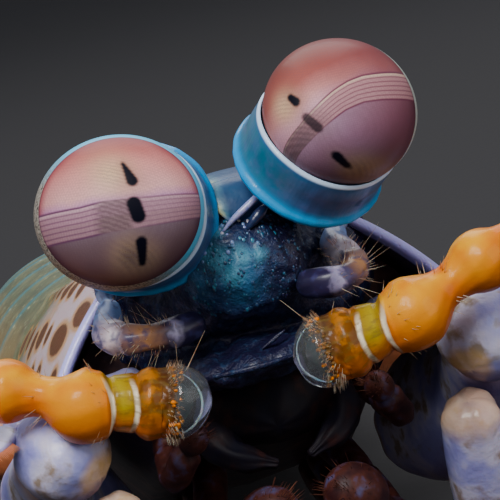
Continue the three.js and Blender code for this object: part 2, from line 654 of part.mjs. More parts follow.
const labrum = (grow = 0) =>
  limb([vec(0, 0.7, 24.4), vec(-0.2, -2.8, 24.6), vec(-0.4, -5.4, 23.8)],
    [[5, 2.6], [4.8, 2.7], [3.8, 2.3], [1.6, 1.1]],
    { sides: 10, wide: vec(1, 0, 0), grow });
addNode("labrum", cut(labrum(), halfSpace(vec(0, 0.6, 0), vec(0, 1, 0)), headGrown, coreGrown), TEAL);

const MOUTH_LEGS = [
  { name: "first", root: vec(5.6, 1.6, 24), bend: vec(6.6, -4.6, 22.4), end: vec(5.6, -6.6, 24.4), hand: 1.1 },
  { name: "third", root: vec(3.6, 6, 19.4), bend: vec(5.2, -4, 16.4), end: vec(3.4, -6.6, 18.6), hand: 2.3 },
  { name: "fourth", root: vec(4, 12, 16.4), bend: vec(5, 1, 12.6), end: vec(3.2, -3.8, 13.6), hand: 2.1 },
  { name: "fifth", root: vec(4.2, 18, 14), bend: vec(5, 8, 9.6), end: vec(3.4, 2.4, 9.2), hand: 1.8 },
];
for (const { name, s } of SIDES) {
  for (const part of MOUTH_LEGS) {
    const [root, bend, end] = [part.root, part.bend, part.end].map((p) => vec(s * p.x, p.y, p.z));
    const arm = limb([root, bend, end], [1.1, 1, 0.85, 0.8, 0.9], { sides: 6, steps: 6 });
    const reach = end.clone().sub(bend).normalize();
    const hand = ovoid(end.clone().addScaledVector(reach, part.hand * 0.8), frameAlong(reach),
      [part.hand * 0.75, part.hand * 0.75, part.hand], [8, 5]);
    addNode("maxilliped_" + part.name + "_" + name,
      cut(join(arm, hand), coreGrown, labrum(GAP), headGrown), LEG_RED);
  }
}

// The origin is under the middle of the model, on the floor.
const box = new THREE.Box3().setFromObject(model);
const middle = box.getCenter(vec(0, 0, 0));
model.children.forEach((node) => node.geometry.translate(-middle.x, -middle.y, 0));

export default model;
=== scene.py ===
import math
import random

import bpy
import numpy as np
from mathutils import Matrix, Vector, noise as perlin


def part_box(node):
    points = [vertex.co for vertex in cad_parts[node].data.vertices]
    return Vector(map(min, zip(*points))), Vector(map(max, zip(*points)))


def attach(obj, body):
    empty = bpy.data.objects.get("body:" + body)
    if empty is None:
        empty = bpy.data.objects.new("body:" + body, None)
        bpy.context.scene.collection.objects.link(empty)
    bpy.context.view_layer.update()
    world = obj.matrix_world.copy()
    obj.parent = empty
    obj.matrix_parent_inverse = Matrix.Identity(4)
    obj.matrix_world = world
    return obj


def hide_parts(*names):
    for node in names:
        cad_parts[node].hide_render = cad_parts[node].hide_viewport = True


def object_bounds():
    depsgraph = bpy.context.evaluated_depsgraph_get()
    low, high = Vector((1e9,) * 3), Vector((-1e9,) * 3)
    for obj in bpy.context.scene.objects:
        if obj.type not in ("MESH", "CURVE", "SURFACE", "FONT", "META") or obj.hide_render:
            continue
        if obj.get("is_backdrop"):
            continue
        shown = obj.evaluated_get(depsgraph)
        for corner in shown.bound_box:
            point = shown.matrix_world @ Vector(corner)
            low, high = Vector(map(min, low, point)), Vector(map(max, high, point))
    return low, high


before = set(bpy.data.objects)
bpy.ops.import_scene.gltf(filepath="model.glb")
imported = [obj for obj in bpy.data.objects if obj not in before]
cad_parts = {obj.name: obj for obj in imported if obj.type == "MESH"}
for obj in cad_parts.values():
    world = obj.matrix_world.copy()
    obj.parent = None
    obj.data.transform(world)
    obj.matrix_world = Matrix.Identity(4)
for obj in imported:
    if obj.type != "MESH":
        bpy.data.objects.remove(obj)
cad_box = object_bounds()

# The camera's place. The animal's own plan is in millimetres, with y = 0 at the front of
# the carapace and its head towards -Y. The camera is just above the eyes, turned a little and
# rolled, with a long lens, so that 26 mm fill the picture at the eyes.
MM = 0.001
ABDOMEN_FRONT = 53
SIDES = (("right", -1), ("left", 1))
ring_low, ring_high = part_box("abdomen_1")
PLAN_ORIGIN = Vector(((ring_low.x + ring_high.x) / 2, ring_low.y - ABDOMEN_FRONT * MM, 0))
AZIMUTH, ELEVATION, ROLL = (math.radians(v) for v in (-8, 12, 14))
DISTANCE, WIDTH_SEEN, FILM = 120, 26, 36
LOOK_AT = Vector((-0.3, -10.7, 35.0))


def metres(point):
    return Vector(point) * MM + PLAN_ORIGIN


level = Vector((math.cos(AZIMUTH), math.sin(AZIMUTH), 0))
towards = Vector((math.sin(AZIMUTH) * math.cos(ELEVATION), -math.cos(AZIMUTH) * math.cos(ELEVATION),
    math.sin(ELEVATION)))
upright = towards.cross(level)
picture_right = level * math.cos(ROLL) - upright * math.sin(ROLL)
picture_up = level * math.sin(ROLL) + upright * math.cos(ROLL)

lens = bpy.data.cameras.new("camera")
lens.sensor_width = FILM
lens.lens = FILM * DISTANCE / WIDTH_SEEN
lens.clip_start, lens.clip_end = 0.005, 5
camera = bpy.data.objects.new("camera", lens)
turned = Matrix((picture_right, picture_up, towards)).transposed().to_4x4()
turned.translation = metres(LOOK_AT + towards * DISTANCE)
camera.matrix_world = turned
bpy.context.scene.collection.objects.link(camera)
bpy.context.scene.camera = camera


# The studio: a wide dark floor of matt card with a faint paper tooth, a dim room round it, and
# three large soft lamps, the main one from above and in front on the animal's right.
def node(tree, kind, inputs=None, **settings):
    made = tree.nodes.new(kind)
    for key, value in settings.items():
        setattr(made, key, value)
    for key, value in (inputs or {}).items():
        if isinstance(value, bpy.types.NodeSocket):
            tree.links.new(value, made.inputs[key])
        else:
            plain = made.inputs[key]
            plain.default_value = (*value, 1) if plain.type == "RGBA" else value
    return made


def finish(name, **settings):
    """A new material with its main shader, whose plain sockets are set by name."""
    material = bpy.data.materials.new(name)
    material.use_nodes = True
    tree = material.node_tree
    shader = tree.nodes["Principled BSDF"]
    for key, value in settings.items():
        plain = shader.inputs[key.replace("_", " ")]
        plain.default_value = (*value, 1) if plain.type == "RGBA" else value
    return material, tree, shader


def places(tree, scale=1000):
    """Object coordinates in millimetres of the animal's plan."""
    spot = node(tree, "ShaderNodeTexCoord").outputs["Object"]
    offset = tuple(-v * scale for v in PLAN_ORIGIN)
    return node(tree, "ShaderNodeMapping", {"Vector": spot, "Location": offset,
        "Scale": (scale,) * 3}).outputs[0]


def noise(vector, scale, detail=3):
    return node(vector.id_data, "ShaderNodeTexNoise", {"Vector": vector, "Scale": scale,
        "Detail": detail}).outputs["Fac"]


def cells(vector, scale, randomness=1.0):
    """How far each place is from the middle of its cell."""
    return node(vector.id_data, "ShaderNodeTexVoronoi", {
        "Vector": vector, "Scale": scale, "Randomness": randomness}).outputs["Distance"]


def ramp(factor, stops):
    """A value or colour that changes with the factor, through (place, value) stops."""
    made = node(factor.id_data, "ShaderNodeValToRGB", {"Fac": factor})
    band = made.color_ramp
    while len(band.elements) < len(stops):
        band.elements.new(0.5)
    for element, (place, color) in zip(band.elements, stops):
        element.position = place
        element.color = (*(color if isinstance(color, tuple) else (color,) * 3), 1)
    return made.outputs["Color"]


def blend(factor, under, over):
    """The colour over laid on the colour under, as strongly as the factor says."""
    return node(factor.id_data, "ShaderNodeMix", {0: factor, 6: under, 7: over},
        data_type="RGBA").outputs[2]


def calc(operation, *values):
    tree = next(value.id_data for value in values if isinstance(value, bpy.types.NodeSocket))
    return node(tree, "ShaderNodeMath", dict(enumerate(values)), operation=operation).outputs[0]


def plus(a, b):
    return calc("ADD", a, b)


def minus(a, b):
    return calc("SUBTRACT", a, b)


def times(a, b):
    return calc("MULTIPLY", a, b)


def swing(value, size):
    """A noise value as an offset to both sides of nothing, size wide in all."""
    return times(minus(value, 0.5), size)


def paint(shader, color):
    shader.id_data.links.new(color, shader.inputs["Base Color"])


def clouded(name, scale, detail, stops, relief=None, **settings):
    """A material whose colour follows soft noise, with a relief of (height, strength)."""
    material, tree, shader = finish(name, **settings)
    cloud = noise(places(tree), scale, detail)
    paint(shader, ramp(cloud, stops))
    if relief:
        bump(shader, cloud, *relief)
    return material


def bump(shader, height, distance, strength=1.0):
    tree = shader.id_data
    made = node(tree, "ShaderNodeBump", {"Height": height, "Strength": strength, "Distance": distance})
    tree.links.new(made.outputs[0], shader.inputs["Normal"])


card, tree, shader = finish("card", Roughness=0.9, Specular_IOR_Level=0.15,
    Base_Color=(0.035, 0.034, 0.036))
bump(shader, noise(places(tree), 0.8), 0.00008, 0.4)
bpy.ops.mesh.primitive_grid_add(x_subdivisions=2, y_subdivisions=2, size=16)
floor = bpy.context.object
floor.name = "floor"
floor.data.materials.append(card)
floor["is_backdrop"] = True

room = bpy.data.worlds.new("room")
room.use_nodes = True
room.node_tree.nodes["Background"].inputs[0].default_value = (0.86, 0.9, 1, 1)
room.node_tree.nodes["Background"].inputs[1].default_value = 0.3
bpy.context.scene.world = room
for name, place, size, power in (("key", (-130, -250, 380), 0.2, 2.3),
        ("fill", (280, -240, 140), 0.3, 0.45), ("back", (60, 260, 320), 0.3, 0.9)):
    lamp = bpy.data.lights.new(name, "AREA")
    lamp.size, lamp.energy = size, power
    holder = bpy.data.objects.new(name, lamp)
    aim = metres(place) - metres(LOOK_AT)
    holder.matrix_world = aim.to_track_quat("Z", "Y").to_matrix().to_4x4()
    holder.matrix_world.translation = metres(place)
    bpy.context.scene.collection.objects.link(holder)


# Carapace: one thin saddle-shaped shell of chitin over the head and front thorax, grown with the
# body under it. Its free front edge is a raised lilac bead, its sides carry drawn-out brown
# spots with pale halos, and towards the back it turns olive. Four shallow keels run along it.
def joined(parts):
    """Many (points, faces, marks) parts as one, where marks are named values at each point."""
    points, faces, marks = [], [], {}
    start = 0
    for part_points, part_faces, part_marks in parts:
        points.append(part_points)
        faces.extend([tuple(k + start for k in face) for face in part_faces])
        for key, values in part_marks.items():
            marks.setdefault(key, []).append((start, values))
        start += len(part_points)
    merged = {}
    for key, runs in marks.items():
        shape = (start,) + np.asarray(runs[0][1]).shape[1:]
        merged[key] = np.zeros(shape)
        for begin, values in runs:
            merged[key][begin:begin + len(values)] = values
    return np.concatenate(points), faces, merged


def skin(rings, marks=None, closed=(True, True)):
    """A closed surface through rings of equally many points, turned to face outwards."""
    rings = np.asarray(rings, float)
    rows, count = rings.shape[:2]
    points = rings.reshape(-1, 3)
    faces = []
    for i in range(rows - 1):
        for j in range(count):
            k = (j + 1) % count
            faces.append((i * count + j, i * count + k, (i + 1) * count + k, (i + 1) * count + j))
    marks = {key: np.asarray(values, float).reshape((rows * count,) + np.shape(values)[2:]) for key,
        values in (marks or {}).items()}
    for end, row in ((0, 0), (1, rows - 1)):
        if not closed[end]:
            continue
        centre = len(points)
        points = np.vstack([points, rings[row].mean(0)])
        for key in marks:
            of_row = marks[key][row * count:(row + 1) * count].mean(0)
            marks[key] = np.concatenate([marks[key], [of_row]])
        for j in range(count):
            k = (j + 1) % count
            a, b = row * count + j, row * count + k
            faces.append((centre, b, a) if end == 0 else (centre, a, b))
    corners = np.array([(f[0], f[k], f[k + 1]) for f in faces for k in range(1, len(f) - 1)])
    a, b, c = np.moveaxis(points[corners] - points.mean(0), 1, 0)
    if np.sum(a * np.cross(b, c)) < 0:
        faces = [face[::-1] for face in faces]
    return points, faces, marks


def piece(name, parts, material, nodes):
    """A finished piece: a mesh in place, in its material, standing for CAD nodes."""
    points, faces, marks = joined(parts)
    mesh = bpy.data.meshes.new(name)
    mesh.from_pydata([metres(p) for p in points], [], faces)
    for key, values in marks.items():
        if values.ndim == 1:
            mesh.attributes.new(key, "FLOAT", "POINT").data.foreach_set("value", values)
        else:
            found = mesh.attributes.new(key, "FLOAT_VECTOR", "POINT")
            found.data.foreach_set("vector", values.ravel())
    mesh.materials.append(material)
    mesh.polygons.foreach_set("use_smooth", [True] * len(mesh.polygons))
    made = bpy.data.objects.new(name, mesh)
    bpy.context.scene.collection.objects.link(made)
    hand_over(made, nodes)
    return made


def hand_over(made, nodes):
    if nodes:
        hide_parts(*nodes)
    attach(made, "root")


def mark(tree, name, output="Fac"):
    return node(tree, "ShaderNodeAttribute", attribute_name=name).outputs[output]


def eased(table, place):
    """Values between the rows of a table, on a smooth curve. Rows are (place, values...)."""
    table = np.asarray(table, float)
    x, y = table[:, 0], table[:, 1:]
    slope = np.zeros_like(y)
    step = (y[1:] - y[:-1]) / (x[1:] - x[:-1])[:, None]
    slope[1:-1] = (step[1:] + step[:-1]) / 2
    slope[0], slope[-1] = step[0], step[-1]
    place = np.clip(np.atleast_1d(place), x[0], x[-1])
    k = np.clip(np.searchsorted(x, place, side="right") - 1, 0, len(x) - 2)
    width = (x[k + 1] - x[k])[:, None]
    t = ((place - x[k]) / (x[k + 1] - x[k]))[:, None]
    return ((2 * t**3 - 3 * t**2 + 1) * y[k] + (t**3 - 2 * t**2 + t) * width * slope[k]
        + (3 * t**2 - 2 * t**3) * y[k + 1] + (t**3 - t**2) * width * slope[k + 1])


CARAPACE_LENGTH = 33
CARAPACE_WALL = 1.3
LIP = 0.42
# Distance from the front, half width, top, side edge, belly, squareness of the arch.
CARAPACE_STATIONS = [(0, 12.4, 36.8, 26.6, 22.6, 1.4), (11, 13.1, 34.3, 22.4, 17.6, 1.75),
    (22, 13.7, 31.4, 18.6, 13.4, 2), (33, 14, 28.4, 15.8, 11, 2.1), (38, 14, 27.2, 15.2, 10.8, 2.1)]
ACROSS, ALONG = 120, 120
GROOVES = (0.3, 0.62)


def arch(row, inset, steps):
    """Points (x, z) of the back's arch, from the right edge over the top to the left edge."""
    _, w, top, edge, _, power = row
    turn = np.linspace(0, math.pi, steps + 1)
    c, s = np.cos(turn), np.clip(np.sin(turn), 0, 1)
    x = -np.sign(c) * (w - inset) * np.abs(c) ** (2 / power)
    return x, edge + (top - inset - edge) * s ** (2 / power)


def carapace():
    shades = random.Random(3)
    rings, spots, rims, fades = [], [], [], []
    stops = np.concatenate([np.linspace(0, 1.6, 12)[:-1], np.linspace(1.6, 31.6, ALONG),
        np.linspace(31.6, CARAPACE_LENGTH, 10)[1:]])
    # Brown spots: (distance from the front edge, sideways place 0..1, length, width).
    blots = [(3.4, -0.7, 0.62, 1.7), (7.6, -0.8, 0.66, 1.9), (3.6, 0.72, 0.6, 1.5)]
    for s in (-1, 1):
        for row in range(7):
            for column in range(5):
                ahead = 3.4 + row * 3.9 + (column % 2) * 1.9 + shades.uniform(-0.5, 0.5)
                aside = s * (0.5 + column * 0.105 + shades.uniform(-0.025, 0.025))
                if all(math.hypot((ahead - a) * 0.6, (aside - b) * 13) > 1.9 for a, b, _, _ in blots):
                    size = shades.uniform(0.4, 0.62)
                    blots.append((ahead, aside, size, size * shades.uniform(1.2, 2.0)))
    for y in stops:
        row = (y, *eased(CARAPACE_STATIONS, y)[0])
        t = y / CARAPACE_LENGTH
        ends = min(y, CARAPACE_LENGTH - y)
        round_off = 0.16 * max(0, 1 - ends / 0.25) ** 2
        x, z = arch(row, 0, ACROSS)
        bead = 0.22 * math.exp(-((y - 0.45) / 0.34) ** 2) - round_off
        bead += 0.15 * math.exp(-((y - CARAPACE_LENGTH + 0.6) / 0.4) ** 2)
        bead -= 0.14 * math.exp(-((y - 1.35) / 0.4) ** 2)
        keel = np.zeros_like(x)
        for groove in GROOVES:
            near = np.abs(np.abs(x) / row[1] - groove)
            depth = 0.34 if groove == GROOVES[0] else -0.2 * t
            keel -= depth * np.exp(-(near / 0.035) ** 2) * min(1, y / 3)
        grown = bead + keel
        lean = x / row[1]
        x2 = x * (1 + grown / row[1])
        z2 = z + grown * np.sqrt(np.clip(1 - lean**2, 0, 1))
        wall = CARAPACE_WALL - (CARAPACE_WALL - LIP) * max(0, 1 - y / 6) ** 2
        inner_x, inner_z = arch(row, wall - round_off * LIP, ACROSS)
        full_x = np.concatenate([x2, inner_x[::-1]])
        full_z = np.concatenate([z2, inner_z[::-1]])
        out = (np.abs(full_x) / row[1]) ** 2
        full_y = y - 3.4 * out * (1 - t) ** 2 + 3 * out * t**3
        rings.append(np.stack([full_x, full_y, full_z], 1))
        spot = np.zeros(len(full_x))
        side = full_x / row[1]
        for ahead, aside, length, width in blots:
            near = np.hypot((y - ahead) / width * 0.75, (side - aside) * 14 / length)
            spot = np.maximum(spot, np.clip(1.6 - near, 0, 1))
        spots.append(spot)
        rims.append(np.full(len(full_x), y))
        fades.append(np.concatenate([np.abs(x) / row[1], np.full(len(inner_x), 2.0)]))
    points, faces, marks = skin(rings, {"spot": spots, "from_front": rims, "aside": fades},
        closed=(False, False))
    count = len(rings[0])
    for row, ahead in ((0, -1), (len(rings) - 1, 1)):
        for j in range(count // 2 - 1):
            face = [row * count + k for k in (j, j + 1, count - 2 - j, count - 1 - j)]
            a, b, c = (points[k] for k in face[:3])
            if np.cross(b - a, c - b)[1] * ahead < 0:
                face.reverse()
            faces.append(tuple(face))
    return points, faces, marks


shell_paint, tree, shader = finish("spotted_shell", Roughness=0.34, Coat_Weight=0.4,
    Coat_Roughness=0.16, Subsurface_Weight=0.12, Subsurface_Scale=0.0008)
spot_of = places(tree)
mottle = noise(spot_of, 0.9, 5)
fine = noise(spot_of, 4.5, 4)
pale = blend(fine, (0.72, 0.5, 0.56), (0.9, 0.74, 0.78))
olive = blend(ramp(mottle, [(0.35, 0.0), (0.68, 1.0)]), (0.12, 0.13, 0.045), (0.26, 0.24, 0.1))
aside = mark(tree, "aside")
ahead = mark(tree, "from_front")
backwards = calc("DIVIDE", minus(ahead, 11), 20)
wobble = times(mottle, 0.5)
to_olive = plus(minus(backwards, times(aside, 0.75)), wobble)
base = blend(ramp(to_olive, [(0.0, 0.0), (0.42, 1.0)]), pale, olive)
gold = times(ramp(calc("ABSOLUTE", minus(to_olive, 0.06)), [(0.0, 1.0), (0.2, 0.0)]), 0.6)
base = blend(gold, base, (0.62, 0.36, 0.1))
spot = plus(mark(tree, "spot"), swing(fine, 0.3))
base = blend(ramp(spot, [(0.05, 0.0), (0.3, 0.8)]), base, (0.75, 0.38, 0.1))
base = blend(ramp(spot, [(0.42, 0.0), (0.62, 1.0)]), base, (0.17, 0.05, 0.002))
# The inner face of the shell is painted near black: painted shade under the carapace.
painted_shade_inside = ramp(minus(aside, 1), [(0.4, 0.0), (0.6, 1.0)])
base = blend(painted_shade_inside, base, (0.06, 0.05, 0.09))
base = blend(ramp(times(ahead, 0.1), [(0.05, 1.0), (0.085, 0.0)]), base, (0.5, 0.48, 0.95))
paint(shader, base)
pits = cells(spot_of, 2.6)
bump(shader, plus(ramp(pits, [(0.0, 0.0), (0.28, 1.0)]), fine), 0.00006, 0.5)
piece("carapace_shell", [carapace()], shell_paint, ["carapace"])


# Body rings: the core under the carapace, four free thorax rings and six abdomen rings. Each is
# a hard arch of chitin with a thinner belly, and slides under the raised rear edge of the next
# one ahead. Olive green with fine pale flecks, a blue-green edge line and rusty lower corners.
TRUNK_STATIONS = [(33, 12.1, 26.6, 15.4, 11, 2.1), (42, 12.5, 25.2, 13.8, 10.6, 2.1),
    (53, 13.8, 23.4, 11, 10.8, 2.2), (74, 14.8, 20.4, 7.6, 9.8, 2.3), (96.5, 14.4, 17.2, 5.6, 7.8, 2.3),
    (109, 13.4, 15, 4.4, 6.4, 2.2), (118, 12, 13, 3.6, 5, 2.1)]
THORAX_ENDS = [CARAPACE_LENGTH, 37, 42, 47.5, ABDOMEN_FRONT]
ABDOMEN_ENDS = [ABDOMEN_FRONT, 63.5, 74, 85, 96.5, 109, 118]
GAP = 0.3


def straight(corners, steps):
    """Points along straight lines through corners, without the first and the last."""
    made = []
    for a, b in zip(corners[:-1], corners[1:]):
        for i in range(steps):
            made.append(np.asarray(a) + (np.asarray(b) - np.asarray(a)) * i / steps)
    return np.array(made[1:])


def body_ring(table, start, end, inset=0.0, keel=0.62, raised=0.25, overlap=0.8, steps=26):
    rings, place, around = [], [], []
    for y in np.linspace(start, end, steps):
        row = (y, *eased(table, y)[0])
        t = (y - start) / (end - start)
        lift = raised * (-0.8 * math.exp(-(t / 0.1) ** 2) + 0.3 * math.sin(math.pi * t)
            + 1.0 * math.exp(-((t - 0.95) / 0.07) ** 2))
        lift -= 0.5 * max(0, (t - 0.985) / 0.015) ** 2 * raised
        x, z = arch(row, inset - lift, 72)
        _, w, _, edge, belly, _ = row
        shoulder = min(edge, belly + 9)
        flank, inner = w - inset - 1.6, w * keel
        low = belly + 0.5 * math.cos(2 * math.pi * t)
        under = straight([(w - inset, edge), (flank, shoulder), (inner, low), (0, low - 0.6),
            (-inner, low), (-flank, shoulder), (-w + inset, edge)], 6)
        full = np.concatenate([np.stack([x, z], 1), under])
        side = np.clip(np.abs(full[:, 0]) / w, 0, 1) ** 6
        y_all = y + overlap * side * (t - 0.3) * (full[:, 1] < shoulder + 3)
        y_all = np.clip(y_all, start, end)
        rings.append(np.stack([full[:, 0], y_all, full[:, 1]], 1))
        place.append(np.full(len(full), t))
        around.append(np.concatenate([np.linspace(-1, 1, len(x)), np.full(len(under), 2.0)]))
    return skin(rings, {"ring_place": place, "around": around})


green_shell, tree, shader = finish("green_shell", Roughness=0.36, Coat_Weight=0.35, Coat_Roughness=0.2,
    Subsurface_Weight=0.06, Subsurface_Scale=0.0006)
spot_of = places(tree)
mottle = noise(spot_of, 0.55, 6)
fine = noise(spot_of, 3.6, 4)
base = blend(ramp(mottle, [(0.3, 0.0), (0.7, 1.0)]), (0.05, 0.075, 0.03), (0.2, 0.2, 0.075))
around = mark(tree, "around")
low_side = ramp(calc("ABSOLUTE", around), [(0.42, 0.0), (0.8, 0.85)])
base = blend(low_side, base, blend(mottle, (0.3, 0.15, 0.03), (0.62, 0.4, 0.16)))
fleck = ramp(cells(spot_of, 1.1), [(0.1, 1.0), (0.24, 0.0)])
base = blend(times(fleck, 0.75), base, (0.55, 0.55, 0.3))
rear = ramp(mark(tree, "ring_place"), [(0.86, 0.0), (0.93, 1.0), (0.985, 1.0), (1.0, 0.3)])
rear = times(rear, minus(0.85, times(low_side, 0.6)))
base = blend(rear, base, (0.02, 0.2, 0.24))
belly = calc("GREATER_THAN", around, 1.5)
skin_tone = blend(fine, (0.34, 0.2, 0.14), (0.55, 0.4, 0.3))
base = blend(belly, base, skin_tone)
paint(shader, base)
pits = cells(spot_of, 3.2)
bump(shader, plus(ramp(pits, [(0.0, 0.0), (0.3, 1.0)]), fine), 0.00005, 0.5)

# The core is painted in near-black browns that stand in for the shade under the body: painted shade.
flesh_in_painted_shade = clouded("flesh_in_painted_shade", 0.6, 5, [(0.35, (0.02, 0.012, 0.02)), (0.55, (0.06, 0.03, 0.035)),
    (0.72, (0.14, 0.07, 0.05))], (0.00012, 0.6), Roughness=0.45, Coat_Weight=0.3, Coat_Roughness=0.2,
    Subsurface_Weight=0.1, Subsurface_Scale=0.0008)
core = body_ring(CARAPACE_STATIONS, 1, CARAPACE_LENGTH - GAP, inset=CARAPACE_WALL + GAP, keel=0.5,
    raised=0, overlap=0)
piece("core", [core], flesh_in_painted_shade, ["cephalothorax"])
for i, (start, end) in enumerate(zip(THORAX_ENDS[:-1], THORAX_ENDS[1:])):
    part = body_ring(TRUNK_STATIONS, start, end - GAP, raised=0.15, overlap=0.3, steps=16)
    piece(f"thorax_ring_{i + 5}", [part], green_shell, [f"thorax_{i + 5}"])


# Limbs are closed tubes of chitin along a curve. The curve passes through its points as the
# solids' do, and the sizes run smoothly along it, with rounded or pointed ends.
def curve(points, samples=40):
    """A centripetal curve through points, and its length at each sample."""
    p = [np.asarray(v, float) for v in points]
    made = []
    for i in range(len(p) - 1):
        a = p[i - 1] if i > 0 else 2 * p[0] - p[1]
        d = p[i + 2] if i + 2 < len(p) else 2 * p[-1] - p[-2]
        b, c = p[i], p[i + 1]
        d0, d1, d2 = (max(np.linalg.norm(u - v), 1e-4) ** 0.5 for u, v in ((a, b), (b, c), (c, d)))
        t1 = ((b - a) / d0 - (c - a) / (d0 + d1) + (c - b) / d1) * d1
        t2 = ((c - b) / d1 - (d - b) / (d1 + d2) + (d - c) / d2) * d1
        for s in np.linspace(0, 1, samples, endpoint=i == len(p) - 2):
            made.append(b + t1 * s + (-3 * b + 3 * c - 2 * t1 - t2) * s**2
                + (2 * b - 2 * c + t1 + t2) * s**3)
    made = np.array(made)
    run = np.concatenate([[0], np.cumsum(np.linalg.norm(np.diff(made, axis=0), axis=1))])
    return made, run


def place_on(line, run, distance):
    """The place on a curve at a distance from its start."""
    return np.array([np.interp(distance, run, line[:, k]) for k in range(3)])


def unit(v):
    return v / max(np.linalg.norm(v), 1e-9)


def tube(points, radii, sides=20, steps=30, wide=None, round_ends=(True, True), power=1.0, relief=None,
        places_at=None):
    """A limb. radii are spread evenly along it, each one number or (across, through). relief
    adds to the radius, as a function of the place along (0..1), the turn and the distance."""
    line, run = curve(points)
    total = run[-1]
    pairs = np.array([(r, r) if np.isscalar(r) else r for r in radii], float)
    table = np.column_stack([places_at if places_at is not None else np.linspace(0, 1, len(pairs)),
        pairs])
    stops = list(np.linspace(0, 1, steps + 1))
    first, last = max(pairs[0]), max(pairs[-1])
    shrink = {}
    for end, size in ((0, first), (1, last)):
        if round_ends[end] and size > 0.02:
            back = min(size * 0.8 / total, 0.3)
            for turn in (0.12, 0.35, 0.6, 0.85, 1.15):
                t = back * (1 - math.cos(turn))
                shrink[t if end == 0 else 1 - t] = math.sin(turn)
            stops = [t for t in stops if (t > back if end == 0 else t < 1 - back)]
    stops = sorted(stops + list(shrink))
    rings, along, turns, reach, outward = [], [], [], [], []
    angle = (np.arange(sides) + 0.5) / sides * 2 * math.pi
    c, s = (np.sign(v) * np.abs(v) ** power for v in (np.cos(angle), np.sin(angle)))
    previous = None
    for t in stops:
        at = place_on(line, run, t * total)
        ahead = place_on(line, run, min(t * total + 0.01 * total, total))
        behind = place_on(line, run, max(t * total - 0.01 * total, 0))
        way = unit(ahead - behind)
        if wide is not None:
            x = np.asarray(wide, float)
        elif previous is None:
            x = np.array([0, 0, 1.0]) if abs(way[2]) < 0.9 else np.array([0, 1.0, 0])
        else:
            x = previous
        x = unit(x - way * np.dot(x, way))
        previous = x
        y = np.cross(way, x)
        rx, ry = eased(table, t)[0]
        scale = shrink.get(t, 1.0)
        extra = relief(t, angle, t * total) if relief else 0.0
        ring = (at + np.outer(c * (rx * scale + extra), x) + np.outer(s * (ry * scale + extra), y))
        rings.append(ring)
        along.append(np.full(sides, t))
        reach.append(np.full(sides, t * total))
        turns.append(angle / (2 * math.pi))
        outward.append(np.outer(c, x) + np.outer(s, y))
    return skin(rings, {"along": along, "turn": turns, "reach": reach, "facing": outward})


def ball(at, axes, radii, across=20, along=14):
    """An ellipsoid with its own three axes, the last one its pole."""
    x, y, z = (unit(np.asarray(a, float)) for a in axes)
    rings, along_marks = [], []
    for tilt in np.linspace(0.06, math.pi - 0.06, along):
        angle = np.linspace(0, 2 * math.pi, across, endpoint=False)
        ring = (np.asarray(at) + np.outer(np.cos(angle) * math.sin(tilt) * radii[0], x)
            + np.outer(np.sin(angle) * math.sin(tilt) * radii[1], y)
            + np.outer(np.full(across, math.cos(tilt) * radii[2]), z))
        rings.append(ring)
        along_marks.append(np.full(across, tilt / math.pi))
    return skin(rings, {"along": along_marks})


def frame_along(way):
    z = unit(np.asarray(way, float))
    x = unit(np.array([-z[1], z[0], 0.0]))
    return x, np.cross(z, x), z


